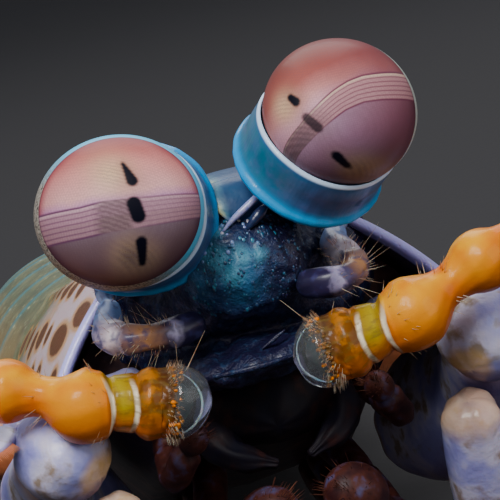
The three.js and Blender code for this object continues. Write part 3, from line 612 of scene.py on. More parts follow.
# Bristles, gill filaments and fringes: fine curved cones set on roots. Each root carries the way
# its bristle leans and its own length and thickness.
def bristle_nodes():
    tree = bpy.data.node_groups.new("bristles", "GeometryNodeTree")
    face = tree.interface
    face.new_socket("Roots", in_out="INPUT", socket_type="NodeSocketGeometry")
    for label, kind, value in (("Bend", "NodeSocketFloat", 0.15), ("Sides", "NodeSocketInt", 5),
            ("Tip", "NodeSocketFloat", 0.12), ("Bulge", "NodeSocketFloat", 0),
            ("Spin Seed", "NodeSocketInt", 1)):
        face.new_socket(label, in_out="INPUT", socket_type=kind).default_value = value
    face.new_socket("Finish", in_out="INPUT", socket_type="NodeSocketMaterial")
    face.new_socket("Bristles", in_out="OUTPUT", socket_type="NodeSocketGeometry")
    given = node(tree, "NodeGroupInput").outputs

    def named(attribute, kind):
        made = node(tree, "GeometryNodeInputNamedAttribute", {"Name": attribute}, data_type=kind)
        return next(o for o in made.outputs if o.enabled and o.name == "Attribute")

    cone = node(tree, "GeometryNodeMeshCone", {"Vertices": given["Sides"], "Side Segments": 5,
        "Radius Top": given["Tip"], "Radius Bottom": 1.0, "Depth": 1.0}).outputs["Mesh"]
    spot = node(tree, "GeometryNodeInputPosition").outputs[0]
    x, y, height = node(tree, "ShaderNodeSeparateXYZ", {0: spot}).outputs
    lean = times(times(height, height), given["Bend"])
    hump = times(minus(height, times(height, height)), given["Bulge"])
    shift = node(tree, "ShaderNodeCombineXYZ", {"X": calc("MULTIPLY_ADD", x, hump, lean),
        "Y": times(y, hump)}).outputs[0]
    bent = node(tree, "GeometryNodeSetPosition", {"Geometry": cone, "Offset": shift}).outputs[0]
    turned = node(tree, "FunctionNodeAlignRotationToVector", {"Vector": named("lean", "FLOAT_VECTOR")},
        axis="Z").outputs[0]
    spin = node(tree, "FunctionNodeRandomValue", {"Seed": given["Spin Seed"]}, data_type="FLOAT")
    spin.inputs[3].default_value = 2 * math.pi
    about = node(tree, "FunctionNodeAxisAngleToRotation", {"Axis": (0, 0, 1),
        "Angle": spin.outputs[1]}).outputs[0]
    turned = node(tree, "FunctionNodeRotateRotation", {"Rotation": turned, "Rotate By": about},
        rotation_space="LOCAL").outputs[0]
    size = node(tree, "ShaderNodeCombineXYZ", {"X": named("thick", "FLOAT"),
        "Y": named("thick", "FLOAT"), "Z": named("long", "FLOAT")}).outputs[0]
    placed = node(tree, "GeometryNodeInstanceOnPoints", {"Points": given["Roots"], "Instance": bent,
        "Rotation": turned, "Scale": size})
    real = node(tree, "GeometryNodeRealizeInstances", {"Geometry": placed.outputs[0]}).outputs[0]
    smooth = node(tree, "GeometryNodeSetShadeSmooth", {"Geometry": real}).outputs[0]
    done = node(tree, "GeometryNodeSetMaterial", {"Geometry": smooth, "Material": given["Finish"]})
    node(tree, "NodeGroupOutput", {"Bristles": done.outputs[0]})
    return tree


BRISTLES = bristle_nodes()


def bristles(name, roots, material, nodes=(), bend=0.15, sides=5, tip=0.12, bulge=0.0):
    """roots: (place, lean, length, thickness) each, in millimetres."""
    mesh = bpy.data.meshes.new(name + "_roots")
    mesh.from_pydata([metres(r[0]) for r in roots], [], [])
    mesh.attributes.new("lean", "FLOAT_VECTOR", "POINT").data.foreach_set(
        "vector", np.array([r[1] for r in roots], float).ravel())
    for key, index in (("long", 2), ("thick", 3)):
        mesh.attributes.new(key, "FLOAT", "POINT").data.foreach_set(
            "value", np.array([r[index] * MM for r in roots], float))
    holder = bpy.data.objects.new(name + "_roots", mesh)
    bpy.context.scene.collection.objects.link(holder)
    change = holder.modifiers.new("bristles", "NODES")
    change.node_group = BRISTLES
    values = {"Bend": bend, "Sides": sides, "Finish": material, "Tip": tip, "Bulge": bulge}
    for item in BRISTLES.interface.items_tree:
        if item.in_out == "INPUT" and item.name in values:
            change[item.identifier] = values[item.name]
    evaluated = holder.evaluated_get(bpy.context.evaluated_depsgraph_get())
    grown = bpy.data.meshes.new_from_object(evaluated)
    grown.name = name
    bpy.data.objects.remove(holder)
    made = bpy.data.objects.new(name, grown)
    bpy.context.scene.collection.objects.link(made)
    hand_over(made, nodes)
    return made


# Abdomen: the six rings behind the thorax. The first five carry a pair of swimming legs, each a
# flat stalk with two fringed oval blades and a tuft of gill filaments, reddish as in life. The
# sixth has six short spines along its rear edge.
limb_red, tree, shader = finish("red_limb", Roughness=0.4, Coat_Weight=0.25, Coat_Roughness=0.25,
    Subsurface_Weight=0.15, Subsurface_Scale=0.0006)
spot_of = places(tree)
fine = noise(spot_of, 2.2, 4)
along = mark(tree, "along")
base = blend(fine, (0.3, 0.07, 0.025), (0.5, 0.16, 0.06))
bands = ramp(along, [(0.0, 0.2), (0.3, 0.0), (0.36, 0.8), (0.4, 0.0), (0.62, 0.0), (0.67, 0.9),
    (0.71, 0.0), (1.0, 0.6)])
base = blend(bands, base, (0.72, 0.55, 0.36))
paint(shader, base)
bump(shader, fine, 0.00005, 0.6)

hair_red, tree, shader = finish("red_hair", Base_Color=(0.55, 0.1, 0.03), Roughness=0.5,
    Subsurface_Weight=0.3, Subsurface_Scale=0.0004)
tint = noise(places(tree), 1.4, 2)
paint(shader, blend(tint, (0.5, 0.07, 0.02), (0.72, 0.25, 0.08)))
gill_pink, tree, shader = finish("gill", Roughness=0.35, Subsurface_Weight=0.4, Subsurface_Scale=0.0005)
tint = noise(places(tree), 2.0, 2)
paint(shader, blend(tint, (0.6, 0.2, 0.16), (0.85, 0.5, 0.42)))

GILL_FILAMENTS = 30


def swimming_leg(s, y, roots, gills, chance):
    belly = eased(TRUNK_STATIONS, y)[0][3]
    root = np.array([s * 7.2, y - 2.6, belly + 1.2])
    knee = root + (s * 0.6, 1.2, -3)
    parts = [tube([root, knee], [(2, 1.1), (1.5, 0.8)], sides=14, steps=8, wide=(1, 0, 0))]
    for spread, length in ((1.9, 7.2), (-1.9, 6.4)):
        start = knee + (s * spread * 0.25, -0.4, 0.6)
        mid = knee + (s * spread, length * 0.5, -1.5)
        end = knee + (s * spread * 1.3, length, -2.4)
        wide = np.array([1, 0, 0.15 * s * spread])
        sizes = [(0.8, 0.4), (1.7, 0.36), (2.0, 0.32), (1.5, 0.26), (0.2, 0.15)]
        parts.append(tube([start, mid, end], sizes, sides=14, steps=18, wide=wide))
        line, run = curve([start, mid, end])
        for t in np.linspace(0.3, 1, 26):
            at = place_on(line, run, t * run[-1])
            half = eased([(0.3, 1.75), (0.5, 2.0), (0.8, 1.4), (1, 0.15)], t)[0][0]
            for side in (-1, 1):
                lean = np.array([side * (1.15 - 0.9 * t), 0.7 + 0.4 * t, -0.12])
                roots.append((at + unit(wide) * side * half * 0.95, lean, chance.uniform(0.9, 1.3),
                    0.035))
    for _ in range(GILL_FILAMENTS):
        place = np.array([-s * 0.8, 0.2 + chance.uniform(-0.9, 1.2), 0.6 + chance.uniform(-0.3, 0.4)])
        lean = np.array([-s * chance.uniform(0.4, 1.3), chance.uniform(-0.5, 1.2),
            chance.uniform(-0.55, 0.05)])
        gills.append((knee + place, lean, chance.uniform(1.8, 3.8), 0.13))
    return parts


for i, (start, end) in enumerate(zip(ABDOMEN_ENDS[:-1], ABDOMEN_ENDS[1:])):
    number, nodes = i + 1, [f"abdomen_{i + 1}"]
    parts = [body_ring(TRUNK_STATIONS, start, end - GAP, overlap=1.0)]
    if i == 5:
        _, half, top, edge, _, _ = (end - GAP, *eased(TRUNK_STATIONS, end - GAP)[0])
        for x in (2.6, 6.4, 10):
            height = edge + (top - edge) * math.sqrt(1 - (x / half) ** 2)
            for s in (-1, 1):
                parts.append(tube([(s * x, end - 5.3, height), (s * x, end - 0.7, height + 0.2)],
                    [0.25, 0.62, 0.12], sides=10, steps=10))
    piece(f"abdomen_ring_{number}", parts, green_shell, nodes)
    if i < 5:
        chance = random.Random(20 + i)
        roots, gills, legs = [], [], []
        for s in (-1, 1):
            legs.extend(swimming_leg(s, start + 4.6, roots, gills, chance))
        piece(f"swimming_legs_{number}", legs, limb_red, nodes)
        bristles(f"swimming_fringe_{number}", roots, hair_red, nodes, bend=0.1)
        bristles(f"gills_{number}", gills, gill_pink, nodes, bend=0.5, sides=6)


# Telson: the thick plate at the tail's end, hinged behind the sixth ring. It has a middle keel,
# three keels a side, three blunt teeth a side on its rear edge and small teeth between them. It
# is blue-green with darker pits and rests its flat underside on the floor.
TELSON_LENGTH, TELSON_HINGE, TELSON_DROP = 22, 8.6, 8.15
TELSON_ROWS = [(0, 10.4, 4.6), (0.18, 11.6, 4.4), (0.45, 11.8, 3.6), (0.7, 10.6, 2.6), (0.86, 8.4, 1.8),
    (0.95, 6, 1.2)]


def telson_at(x, along, z):
    t = min(along / TELSON_LENGTH, 1)
    return np.array([x, ABDOMEN_ENDS[-1] + along, TELSON_HINGE + z - TELSON_DROP * (1 - (1 - t) ** 2)])


def telson():
    rings, marks = [], []
    for t in np.linspace(0, 0.95, 40):
        w, thick = eased(TELSON_ROWS, t)[0]
        end = max(0, (t - 0.9) / 0.05)
        ring, ridge_marks = [], []
        for u in np.linspace(-1, 1, 97):
            ridge = sum(math.exp(-((abs(u) - k) / 0.035) ** 2) for k in (0, 0.3, 0.56, 0.8))
            dome = thick * (0.55 - 0.1 * end) * math.sqrt(1 - 0.98 * u * u)
            lift = 0.72 * ridge * (1 - t * 0.5) * min(1, t / 0.06) * (1 - 0.6 * end)
            ring.append(telson_at(u * w, t * TELSON_LENGTH, dome + lift))
            ridge_marks.append(ridge)
        for u in np.linspace(0.97, -0.97, 24):
            low = -thick * 0.42 * (1 - max(0, (abs(u) - 0.7) / 0.3) ** 2 * 0.8)
            ring.append(telson_at(u * w, t * TELSON_LENGTH, low))
            ridge_marks.append(0)
        ring = np.array(ring)
        ring[:, 2] = np.maximum(ring[:, 2], 0.0)
        rings.append(ring)
        marks.append(ridge_marks)
    parts = [skin(rings, {"ridge": marks})]
    for s in (-1, 1):
        for x, start, length, r in ((2.4, 0.86, 3.4, 0.9), (6.2, 0.74, 3.6, 1), (9.6, 0.52, 4, 1)):
            root = telson_at(s * x, start * TELSON_LENGTH, 0.35)
            tip = telson_at(s * (x + 0.9), start * TELSON_LENGTH + length + 2.2, -0.1)
            tip[2] = max(tip[2], 0.35)
            root[2] = max(root[2], r + 0.02)
            parts.append(tube([root, (root + tip) / 2 + (0, 0, 0.15), tip], [r, r * 0.95, r * 0.7, 0.1],
                sides=14, steps=14))
        for i in range(9):
            x = 3.4 + i * 0.36 if i < 6 else 7.2 + (i - 6) * 0.5
            along = (0.905 - 0.0035 * (x - 3) ** 2) * TELSON_LENGTH
            root, tip = telson_at(s * x, along, 0), telson_at(s * x, along + 1.9, -0.1)
            root[2], tip[2] = max(root[2], 0.36), max(tip[2], 0.2)
            parts.append(tube([root, tip], [0.3, 0.22, 0.06], sides=8, steps=5))
    return parts


teal_shell, tree, shader = finish("teal_shell", Roughness=0.32, Coat_Weight=0.45, Coat_Roughness=0.18,
    Subsurface_Weight=0.08, Subsurface_Scale=0.0006)
spot_of = places(tree)
mottle = noise(spot_of, 0.5, 5)
fine = noise(spot_of, 3.0, 4)
base = blend(ramp(mottle, [(0.32, 0.0), (0.66, 1.0)]), (0.015, 0.11, 0.12), (0.06, 0.27, 0.2))
base = blend(ramp(mark(tree, "ridge"), [(0.2, 0.0), (0.9, 0.75)]), base, (0.1, 0.42, 0.42))
pits = cells(spot_of, 1.3)
pit = ramp(pits, [(0.1, 1.0), (0.22, 0.0)])
base = blend(times(pit, 0.7), base, (0.01, 0.05, 0.08))
paint(shader, base)
bump(shader, plus(times(pit, -1), fine), 0.00008, 0.6)
piece("telson_plate", telson(), teal_shell, ["telson"])


# Tail fan: at each side of the telson a stout stalk ends in two long spines over a two-jointed
# outer paddle, edged with movable spines, and a narrow inner paddle. Both paddles are blue-green
# with a yellow-and-red tinge and wear a dense red fringe of flat hairs.
paddle, tree, shader = finish("paddle", Roughness=0.36, Coat_Weight=0.4, Coat_Roughness=0.2,
    Subsurface_Weight=0.15, Subsurface_Scale=0.0006)
spot_of = places(tree)
fine = noise(spot_of, 1.6, 4)
along = mark(tree, "along")
base = ramp(plus(along, times(fine, 0.12)), [(0.0, (0.02, 0.12, 0.1)), (0.3, (0.03, 0.22, 0.2)),
    (0.52, (0.05, 0.3, 0.28)), (0.56, (0.6, 0.45, 0.1)), (0.64, (0.5, 0.12, 0.04)),
    (0.85, (0.05, 0.16, 0.3)), (1.0, (0.3, 0.06, 0.1))])
paint(shader, base)
bump(shader, fine, 0.00006, 0.6)
for name, s in SIDES:
    chance = random.Random(40 + s)
    hip, knee = np.array([s * 10.6, 115.4, 8]), np.array([s * 14.8, 122.4, 5.4])
    spine_root = knee + (0, -0.6, -0.6)
    stalk = [tube([hip, knee], [(2.3, 1.6), (2.8, 1.8), (2, 1.4)], sides=20, steps=14, wide=(1, 0, 0)),
        tube([spine_root, (s * 16.4, 130, 2.6), (s * 17.5, 137.6, 1.2)], [1.2, 0.85, 0.1], sides=14,
        steps=16), tube([spine_root, (s * 14.7, 128, 2.7), (s * 14.6, 132.8, 1.3)], [0.95, 0.7, 0.1],
        sides=12, steps=12)]
    piece(f"fan_stalk_{name}", stalk, green_shell, [f"uropod_{name}"])
    wide = np.array([1, 0, -0.12 * s])
    outer = [knee + (s * 2, 1.2, 0.5), (s * 21, 131, 3.4), (s * 24.4, 141, 1.5)]
    inner = [knee + (-s * 0.5, 1.8, 0.9), (s * 14.6, 131, 3.8), (s * 15, 140.6, 1.5)]
    outer_sizes = [(1.2, 0.8), (2.7, 0.9), (3, 0.8), (2.2, 0.62), (3, 0.5), (2.7, 0.4), (0.8, 0.3)]
    inner_sizes = [(0.9, 0.5), (1.9, 0.6), (2.3, 0.5), (1.9, 0.4), (0.5, 0.3)]
    blade = [tube(outer, outer_sizes, sides=26, steps=44, wide=wide)]
    line, run = curve(outer)
    for i in range(9):
        t = 0.16 + i * 0.046
        root = place_on(line, run, t * run[-1])
        root += unit(wide) * s * 2.1
        blade.append(tube([root, root + (s * 1.2, 1.0, 0), root + (s * 1.9, 2.3, -0.1)],
            [0.4, 0.32, 0.08], sides=8, steps=8))
    piece(f"outer_paddle_{name}", blade, paddle, [f"uropod_exopod_{name}"])
    piece(f"inner_paddle_{name}", [tube(inner, inner_sizes, sides=24, steps=36, wide=wide)], paddle,
        [f"uropod_endopod_{name}"])
    for label, path, sizes, start, owner in (("outer", outer, outer_sizes, 0.52, "exopod"),
            ("inner", inner, inner_sizes, 0.2, "endopod")):
        line, run = curve(path)
        table = [(i / (len(sizes) - 1), r[0]) for i, r in enumerate(sizes)]
        roots = []
        for t in np.linspace(start, 1, 90):
            at = place_on(line, run, t * run[-1])
            half = eased(table, t)[0][0]
            for side in (-1, 1):
                lean = np.array([side * (1.1 - t), 0.6 + 0.5 * t, -0.03])
                roots.append((at + unit(wide) * side * half * 0.93, lean, chance.uniform(1.5, 2.0),
                    0.06))
        bristles(f"{label}_paddle_fringe_{name}", roots, hair_red,
            [f"uropod_{owner}_{name}"], bend=0.08, sides=4)


# Walking legs: three slender pairs under the free thorax rings, each of five joints with pale
# bands at the knees, a side rod that bends back, and a brush of short hairs at the foot.
FOOT_HAIRS = 46
LEG_STATIONS = [40, 44.5, 50]
LEG_FEET = [(27, 29), (29.5, 43), (27.5, 58)]
LEG_RADII = [1.7, 1.7, 1.5, 1.25, 1.38, 1.08, 0.95, 1.08, 0.85, 0.7, 0.6]


def knuckles(t, angle, distance):
    return 0.06 * np.sin(distance * 9) * 0.25 - 0.16 * sum(
        math.exp(-((t - k) / 0.012) ** 2) for k in (0.3, 0.56, 0.8))


for name, s in SIDES:
    for i, (y, (foot_x, foot_y)) in enumerate(zip(LEG_STATIONS, LEG_FEET)):
        reach = foot_y - y
        points = [(s * 8.2, y, 12.4), (s * 13, y + reach * 0.15, 13.4),
            (s * 17.5, y + reach * 0.35, 15), (s * 24.5, y + reach * 0.8, 7.8),
            (s * foot_x, foot_y, 0.55)]
        side = np.array([s * 12, y + reach * 0.12, 13.8])
        leg = [tube(points, LEG_RADII, sides=18, steps=60, relief=knuckles),
            tube([side, side + (s * 5, 1.5, 3.2), side + (s * 10.5, 3, 2)],
            [(0.7, 0.7), (0.6, 0.6), (1.0, 0.5), (0.1, 0.1)], sides=12, steps=20, wide=(0, 0, 1))]
        node_name = f"walking_leg_{i + 1}_{name}"
        piece(f"leg_{i + 1}_{name}", leg, limb_red, [node_name])
        chance = random.Random(60 + 3 * i + s)
        toe, ankle = np.array(points[-1]), np.array(points[-2])
        way = unit(toe - ankle)
        roots = []
        for _ in range(FOOT_HAIRS):
            around = chance.uniform(0, 2 * math.pi)
            back = chance.uniform(0.4, 3.4)
            x, z, _ = frame_along(way)
            out = x * math.cos(around) + z * math.sin(around)
            roots.append((toe - way * back + out * 0.5, out + way * 1.2, chance.uniform(0.6, 0.9), 0.03))
        roots = [r for r in roots if r[0][2] + unit(np.array(r[1]))[2] * r[2] > 0.05]
        bristles(f"foot_brush_{i + 1}_{name}", roots, hair_red, [node_name], sides=4)


# Head front: the teal muzzle between the eyes, the shelf under it and the ridge that carries the
# eyestalks. All are one skin of thin shell grown together, with low bumps and pale cyan blotches.
def welded(parts, voxel, soften, relief=None):
    """Closed parts melted into one skin, in steps of a voxel, and smoothed."""
    points, faces, _ = joined(parts)
    mesh = bpy.data.meshes.new("melting")
    mesh.from_pydata([tuple(p) for p in points], [], faces)
    holder = bpy.data.objects.new("melting", mesh)
    bpy.context.scene.collection.objects.link(holder)
    melt = holder.modifiers.new("melt", "REMESH")
    melt.mode, melt.voxel_size = "VOXEL", voxel
    smooth = holder.modifiers.new("soften", "SMOOTH")
    smooth.factor, smooth.iterations = 0.5, soften
    evaluated = holder.evaluated_get(bpy.context.evaluated_depsgraph_get())
    melted = bpy.data.meshes.new_from_object(evaluated)
    bpy.data.objects.remove(holder)
    count = len(melted.vertices)
    points, normals = np.zeros(count * 3), np.zeros(count * 3)
    melted.vertices.foreach_get("co", points)
    melted.vertices.foreach_get("normal", normals)
    points, normals = points.reshape(-1, 3), normals.reshape(-1, 3)
    faces = [tuple(face.vertices) for face in melted.polygons]
    if relief:
        points = points + normals * np.array([relief(Vector(p)) for p in points])[:, None]
    return points, faces, {}


def lumps(p):
    """Low rounded bumps with fine wrinkles between them."""
    return 0.42 * perlin.noise(p * 0.55) + 0.2 * perlin.noise(p * 1.3) + 0.06 * perlin.noise(p * 3.1)


def near(points, spots):
    """How near points are to spots, each (x, y, z, radius), from 0 to 1."""
    found = np.zeros(len(points))
    for x, y, z, r in spots:
        gap = np.linalg.norm(np.asarray(points) - (x, y, z), axis=1)
        found = np.maximum(found, np.exp(-(gap / r) ** 2))
    return found


HEAD_ROWS = [(0.7, 0, 31, 8.4, 4.4), (-2.2, 0, 31.6, 6.6, 4.2), (-4.6, -0.2, 32.8, 4.3, 3.6),
    (-6.4, -0.3, 33.4, 3.4, 3), (-8.2, -0.3, 33.5, 3, 2.7), (-9.4, -0.3, 33.5, 2, 1.8)]
muzzle_form = tube([(x, y, z) for y, x, z, _, _ in HEAD_ROWS], [(w, h) for _, _, _, w, h in HEAD_ROWS],
    sides=48, steps=40, wide=(1, 0, 0), power=0.85, round_ends=(False, True),
    places_at=[0, 0.28, 0.53, 0.71, 0.88, 1])
shelf_form = tube([(-0.4, 0.7, 28.2), (-1, -5, 28.2), (-1.6, -10, 28.5)],
    [(7.4, 1.8), (6.4, 1.5), (5.2, 1.3), (4.2, 1.1), (3, 0.8)], sides=36, steps=30, wide=(1, 0, 0))
ocular_form = tube([(0, -0.4, 35), (0, -6.4, 35.6)], [(4, 1.6), (3.6, 1.6), (2.6, 1.3), (1.4, 0.8)],
    sides=28, steps=20, wide=(1, 0, 0))
muzzle = welded([muzzle_form, shelf_form, ocular_form], 0.16, 12, lumps)
PALE_BLOTCHES = [(-1.9, -9.0, 34.6, 1.0), (-1.3, -9.2, 33.7, 0.8), (-0.6, -9.4, 34.7, 0.8),
    (0.5, -9.4, 34.4, 0.7), (-1.5, -7.9, 35.9, 0.8), (-2.3, -8.6, 35.2, 0.8)]
muzzle[2]["pale"] = near(muzzle[0], PALE_BLOTCHES)
muzzle[2]["flank"] = near(muzzle[0], [(-3.4, -8.2, 33.4, 1.9), (-1.0, -9.0, 33.4, 2.2)])

head_teal, tree, shader = finish("head_teal", Roughness=0.36, Specular_IOR_Level=0.3, Coat_Weight=0.15,
    Coat_Roughness=0.15)
spot_of = places(tree)
mottle = noise(spot_of, 0.55, 5)
fine = noise(spot_of, 2.4, 4)
drawn = node(tree, "ShaderNodeMapping", {"Vector": spot_of, "Scale": (1.6, 1.0, 0.5)}).outputs[0]
drips = noise(drawn, 0.9, 4)
# Teal near two spots on the muzzle's right side, near-black navy elsewhere: partly the shell's own navy,
# partly painted shade on its left side, away from the main lamp.
flank = plus(mark(tree, "flank"), swing(mottle, 1.1))
base = ramp(flank, [(0.05, (0.01, 0.009, 0.035)), (0.35, (0.012, 0.024, 0.08)),
    (0.6, (0.014, 0.05, 0.14)), (0.95, (0.018, 0.1, 0.21))])
base = blend(ramp(fine, [(0.52, 0.0), (0.7, 0.4)]), base, (0.03, 0.09, 0.2))
pale = times(mark(tree, "pale"), plus(drips, 0.42))
base = blend(ramp(pale, [(0.3, 0.0), (0.85, 0.8)]), base, (0.08, 0.3, 0.42))
paint(shader, base)
bump(shader, plus(fine, noise(spot_of, 7.0, 3)), 0.00014, 0.7)
piece("muzzle", [muzzle], head_teal, ["head_front"])


# Rostral plate and ocular plates: small flat shields hinged to the front of the carapace, over
# the roots of the eyestalks. They are blue with a cream-yellow rim and a thin pale lower edge.
PLATES = {
    "rostral_shield": ([(0, -0.6, 37), (0.1, -3.6, 37.7), (0.2, -6.2, 37.9)],
                       [(3.6, 0.5), (3.7, 0.55), (3.2, 0.5), (2.4, 0.4), (1.2, 0.3)], "rostral_plate"),
    "ocular_plate": ([(0.3, -5.4, 37.9), (0.2, -6.6, 37.5), (-0.1, -7.3, 36.7), (-0.5, -7.6, 36.1)],
                     [(2.1, 0.4), (2.3, 0.4), (2.1, 0.35), (1.4, 0.3), (0.5, 0.22)], "head_front"),
}
plate_paint, tree, shader = finish("plate_paint", Roughness=0.45, Specular_IOR_Level=0.2,
    Coat_Weight=0.1, Coat_Roughness=0.15)
spot_of = places(tree)
fine = noise(spot_of, 1.8, 4)
# The plate's right edge is at 0.5 of the turn, its left edge at 0 and 1.
side = calc("COSINE", times(mark(tree, "turn"), 2 * math.pi))
ragged = swing(fine, 0.25)
base = ramp(plus(times(plus(side, ragged), 0.5), 0.5), [(0.02, (0.8, 0.68, 0.3)),
    (0.14, (0.55, 0.66, 0.42)), (0.26, (0.1, 0.24, 0.3)), (0.4, (0.012, 0.07, 0.16)),
    (0.9, (0.008, 0.035, 0.12)), (0.97, (0.1, 0.2, 0.5))])
deep = noise(spot_of, 0.8, 4)
base = blend(ramp(deep, [(0.45, 0.0), (0.65, 0.6)]), base, (0.01, 0.04, 0.12))
front = plus(mark(tree, "along"), times(ragged, 0.15))
base = blend(ramp(front, [(0.93, 0.0), (0.97, 0.7)]), base, (0.2, 0.35, 0.6))
paint(shader, base)
bump(shader, fine, 0.00008, 0.5)
for name, (path, sizes, owner) in PLATES.items():
    piece(name, [tube(path, sizes, sides=56, steps=50, wide=(1, 0, 0))], plate_paint,
        [owner])


# Brow ridge and grains: a pale ridge runs slantwise from the left eyestalk down to the muzzle,
# and the skin round it is set with small blunt grains, cream, lilac, teal and navy.
grain_paint, tree, shader = finish("grain_paint", Roughness=0.3, Coat_Weight=0.3, Coat_Roughness=0.1,
    Subsurface_Weight=0.1, Subsurface_Scale=0.0003)
tint = mark(tree, "tint")
fine = noise(places(tree), 4, 3)
shown = plus(tint, swing(fine, 0.25))
paint(shader, ramp(shown, [(0.05, (0.012, 0.01, 0.05)), (0.25, (0.01, 0.05, 0.13)),
    (0.5, (0.03, 0.2, 0.3)), (0.7, (0.25, 0.28, 0.6)), (0.85, (0.7, 0.6, 0.62)),
    (1.0, (0.8, 0.7, 0.35))]))
bump(shader, fine, 0.00005, 0.5)
BROW_GRAINS = 420
chance = random.Random(31)
ridge = tube([(1.5, -7.9, 37.3), (0.5, -8.0, 36.75), (-0.5, -8.0, 36.2), (-1.1, -8.1, 35.8)],
    [0.14, 0.2, 0.17, 0.06], sides=20, steps=30)
ridge[2]["tint"] = np.full(len(ridge[0]), 0.72)
# A dark navy strip along the underside of the ridge: painted shadow cast by the ridge.
lower = tube([(1.6, -8.1, 36.6), (0.8, -8.3, 36.1), (0.1, -8.4, 35.6)], [0.1, 0.3, 0.26, 0.08],
    sides=20, steps=24)
lower[2]["tint"] = np.full(len(lower[0]), 0.12)
grains = [ridge, lower]
forms = muzzle[0]
facing_camera = forms[(forms[:, 1] < -6.2) & (forms[:, 2] > 31.4)]
for _ in range(BROW_GRAINS):
    at = facing_camera[chance.randrange(len(facing_camera))]
    # Over their own mixed tints, grains higher up are painted paler, partly as painted highlights, and grains
    # on the animal's left are painted darker, as painted shade.
    high = min(1, max(0, (at[2] - 34) / 1.6)) * (1 if at[0] < 0.6 else 0.4)
    size = chance.uniform(0.04, 0.1) * (1 + 0.5 * high)
    out = unit(at - np.array((-0.3, -4, 33)))
    grain = ball(at, frame_along(out), (size, size * chance.uniform(1, 1.6), size * 0.45), 10, 6)
    level = chance.uniform(0.15, 0.48) + high * chance.uniform(0, 0.5) - (0.15 if at[0] > 0.4 else 0)
    grain[2]["tint"] = np.full(len(grain[0]), min(1, max(0, level)))
    grains.append(grain)
piece("brow_grains", grains, grain_paint, ["head_front"])


# Eyes: each cornea is a clear oval dome of thousands of hexagonal facets over pink pigment. Six
# rows of larger facets cross it as the midband, and three dark false pupils lie in a row, where
# the facets look straight at the camera's place. It sits in a cup at the end of its stalk.
CORNEA_RADII = np.array([4.45, 4.05, 3.5])
# The dome reaches past its own equator, down to this tilt from its axis, in radians.
CORNEA_TILT, CORNEA_RINGS, CORNEA_SIDES = 1.95, 150, 300
PUPIL_SOFTNESS = 0.035
# at, axis and band place the dome, root is the stalk's foot, and paint has the ways along and up
# in which the markings are measured, as sines. shift is the midband's height. borders are its
# lower and upper edges, lines and hatch the strength of its rows and zigzags, by place along.
# Pupils run from one place to another, with a radius at both ends and a darkness, and beige
# patches have a middle and two widths. cap is the pigment's own axis and reach, in degrees.
EYES = {
    "right": {
        "at": (-6.36, -10, 38.6), "axis": (-0.265, -0.914, 0.308), "band": (0.979, -0.163, -0.119),
        "root": (-1.9, -4.4, 35.9),
        "paint": ((0.987, 0.041, -0.155), (0.14, 0.254, 0.957)),
        "shift": -0.063, "cap": ((-0.091, -0.966, 0.244), 69.5),
        "borders": [(-1, -0.26, 0.13), (-0.6, -0.25, 0.13), (-0.35, -0.23, 0.16),
                    (0.2, -0.21, 0.14), (0.5, -0.19, 0.14), (1, -0.15, 0.13)],
        "lines": [(-1, 1), (-0.45, 1), (-0.34, 0.15), (-0.05, 0.1), (0.12, 0.55), (1, 0.8)],
        "hatch": [(-1, 0), (-0.5, 0), (-0.38, 1), (-0.1, 1), (-0.02, 0), (1, 0)],
        "pupils": [(-0.045, 0.6, 0.012, 0.37, 0.025, 0.072, 1), (-0.012, 0.08, 0.022, -0.08, 0.088, 0.088, 1),
                   (0.035, -0.4, 0.05, -0.64, 0.07, 0.045, 1)],
        "beige": [(-0.2, 0.5, 0.24, 0.24), (-0.14, -0.52, 0.16, 0.2), (0.06, -0.6, 0.2, 0.16)],
    },
    "left": {
        "at": (6.26, -9.5, 40.56), "axis": (0.458, -0.608, 0.647), "band": (0.715, 0.684, 0.136),
        "root": (2.2, -4.2, 36),
        "paint": ((0.808, -0.357, 0.468), (-0.225, 0.547, 0.806)),
        "shift": -0.266, "cap": ((-0.454, -0.848, 0.276), 97),
        "borders": [(-1, -0.16, 0.02), (-0.6, -0.14, 0.06), (-0.15, -0.13, 0.1), (0.17, -0.1, 0.16),
                    (0.45, -0.07, 0.22), (0.65, -0.08, 0.25), (0.8, -0.13, 0.25), (1, -0.22, 0.2)],
        "lines": [(-1, 0.5), (-0.5, 0.45), (-0.2, 0.2), (0.1, 0.5), (0.3, 1), (1, 1)],
        "hatch": [(-1, 1), (-0.2, 1), (0.1, 0.4), (0.3, 0), (1, 0)],
        "pupils": [(-0.05, 0.47, -0.01, 0.37, 0.05, 0.065, 1), (-0.01, 0.12, 0.03, -0.06, 0.06, 0.07, 0.82),
                   (-0.07, -0.45, -0.09, -0.55, 0.07, 0.055, 1)],
        "beige": [(-0.2, 0.42, 0.2, 0.2), (-0.05, -0.66, 0.22, 0.12)],
    },
}


def eye_axes(eye):
    z = unit(np.array(eye["axis"], float))
    x = np.array(eye["band"], float)
    x = unit(x - z * x.dot(z))
    return x, np.cross(z, x), z


def to_segment(u, v, u0, v0, u1, v1):
    """How far places are from a segment, and how far along it the nearest point is."""
    du, dv = u1 - u0, v1 - v0
    t = np.clip(((u - u0) * du + (v - v0) * dv) / (du * du + dv * dv), 0, 1)
    return np.hypot(u - u0 - t * du, v - v0 - t * dv), t


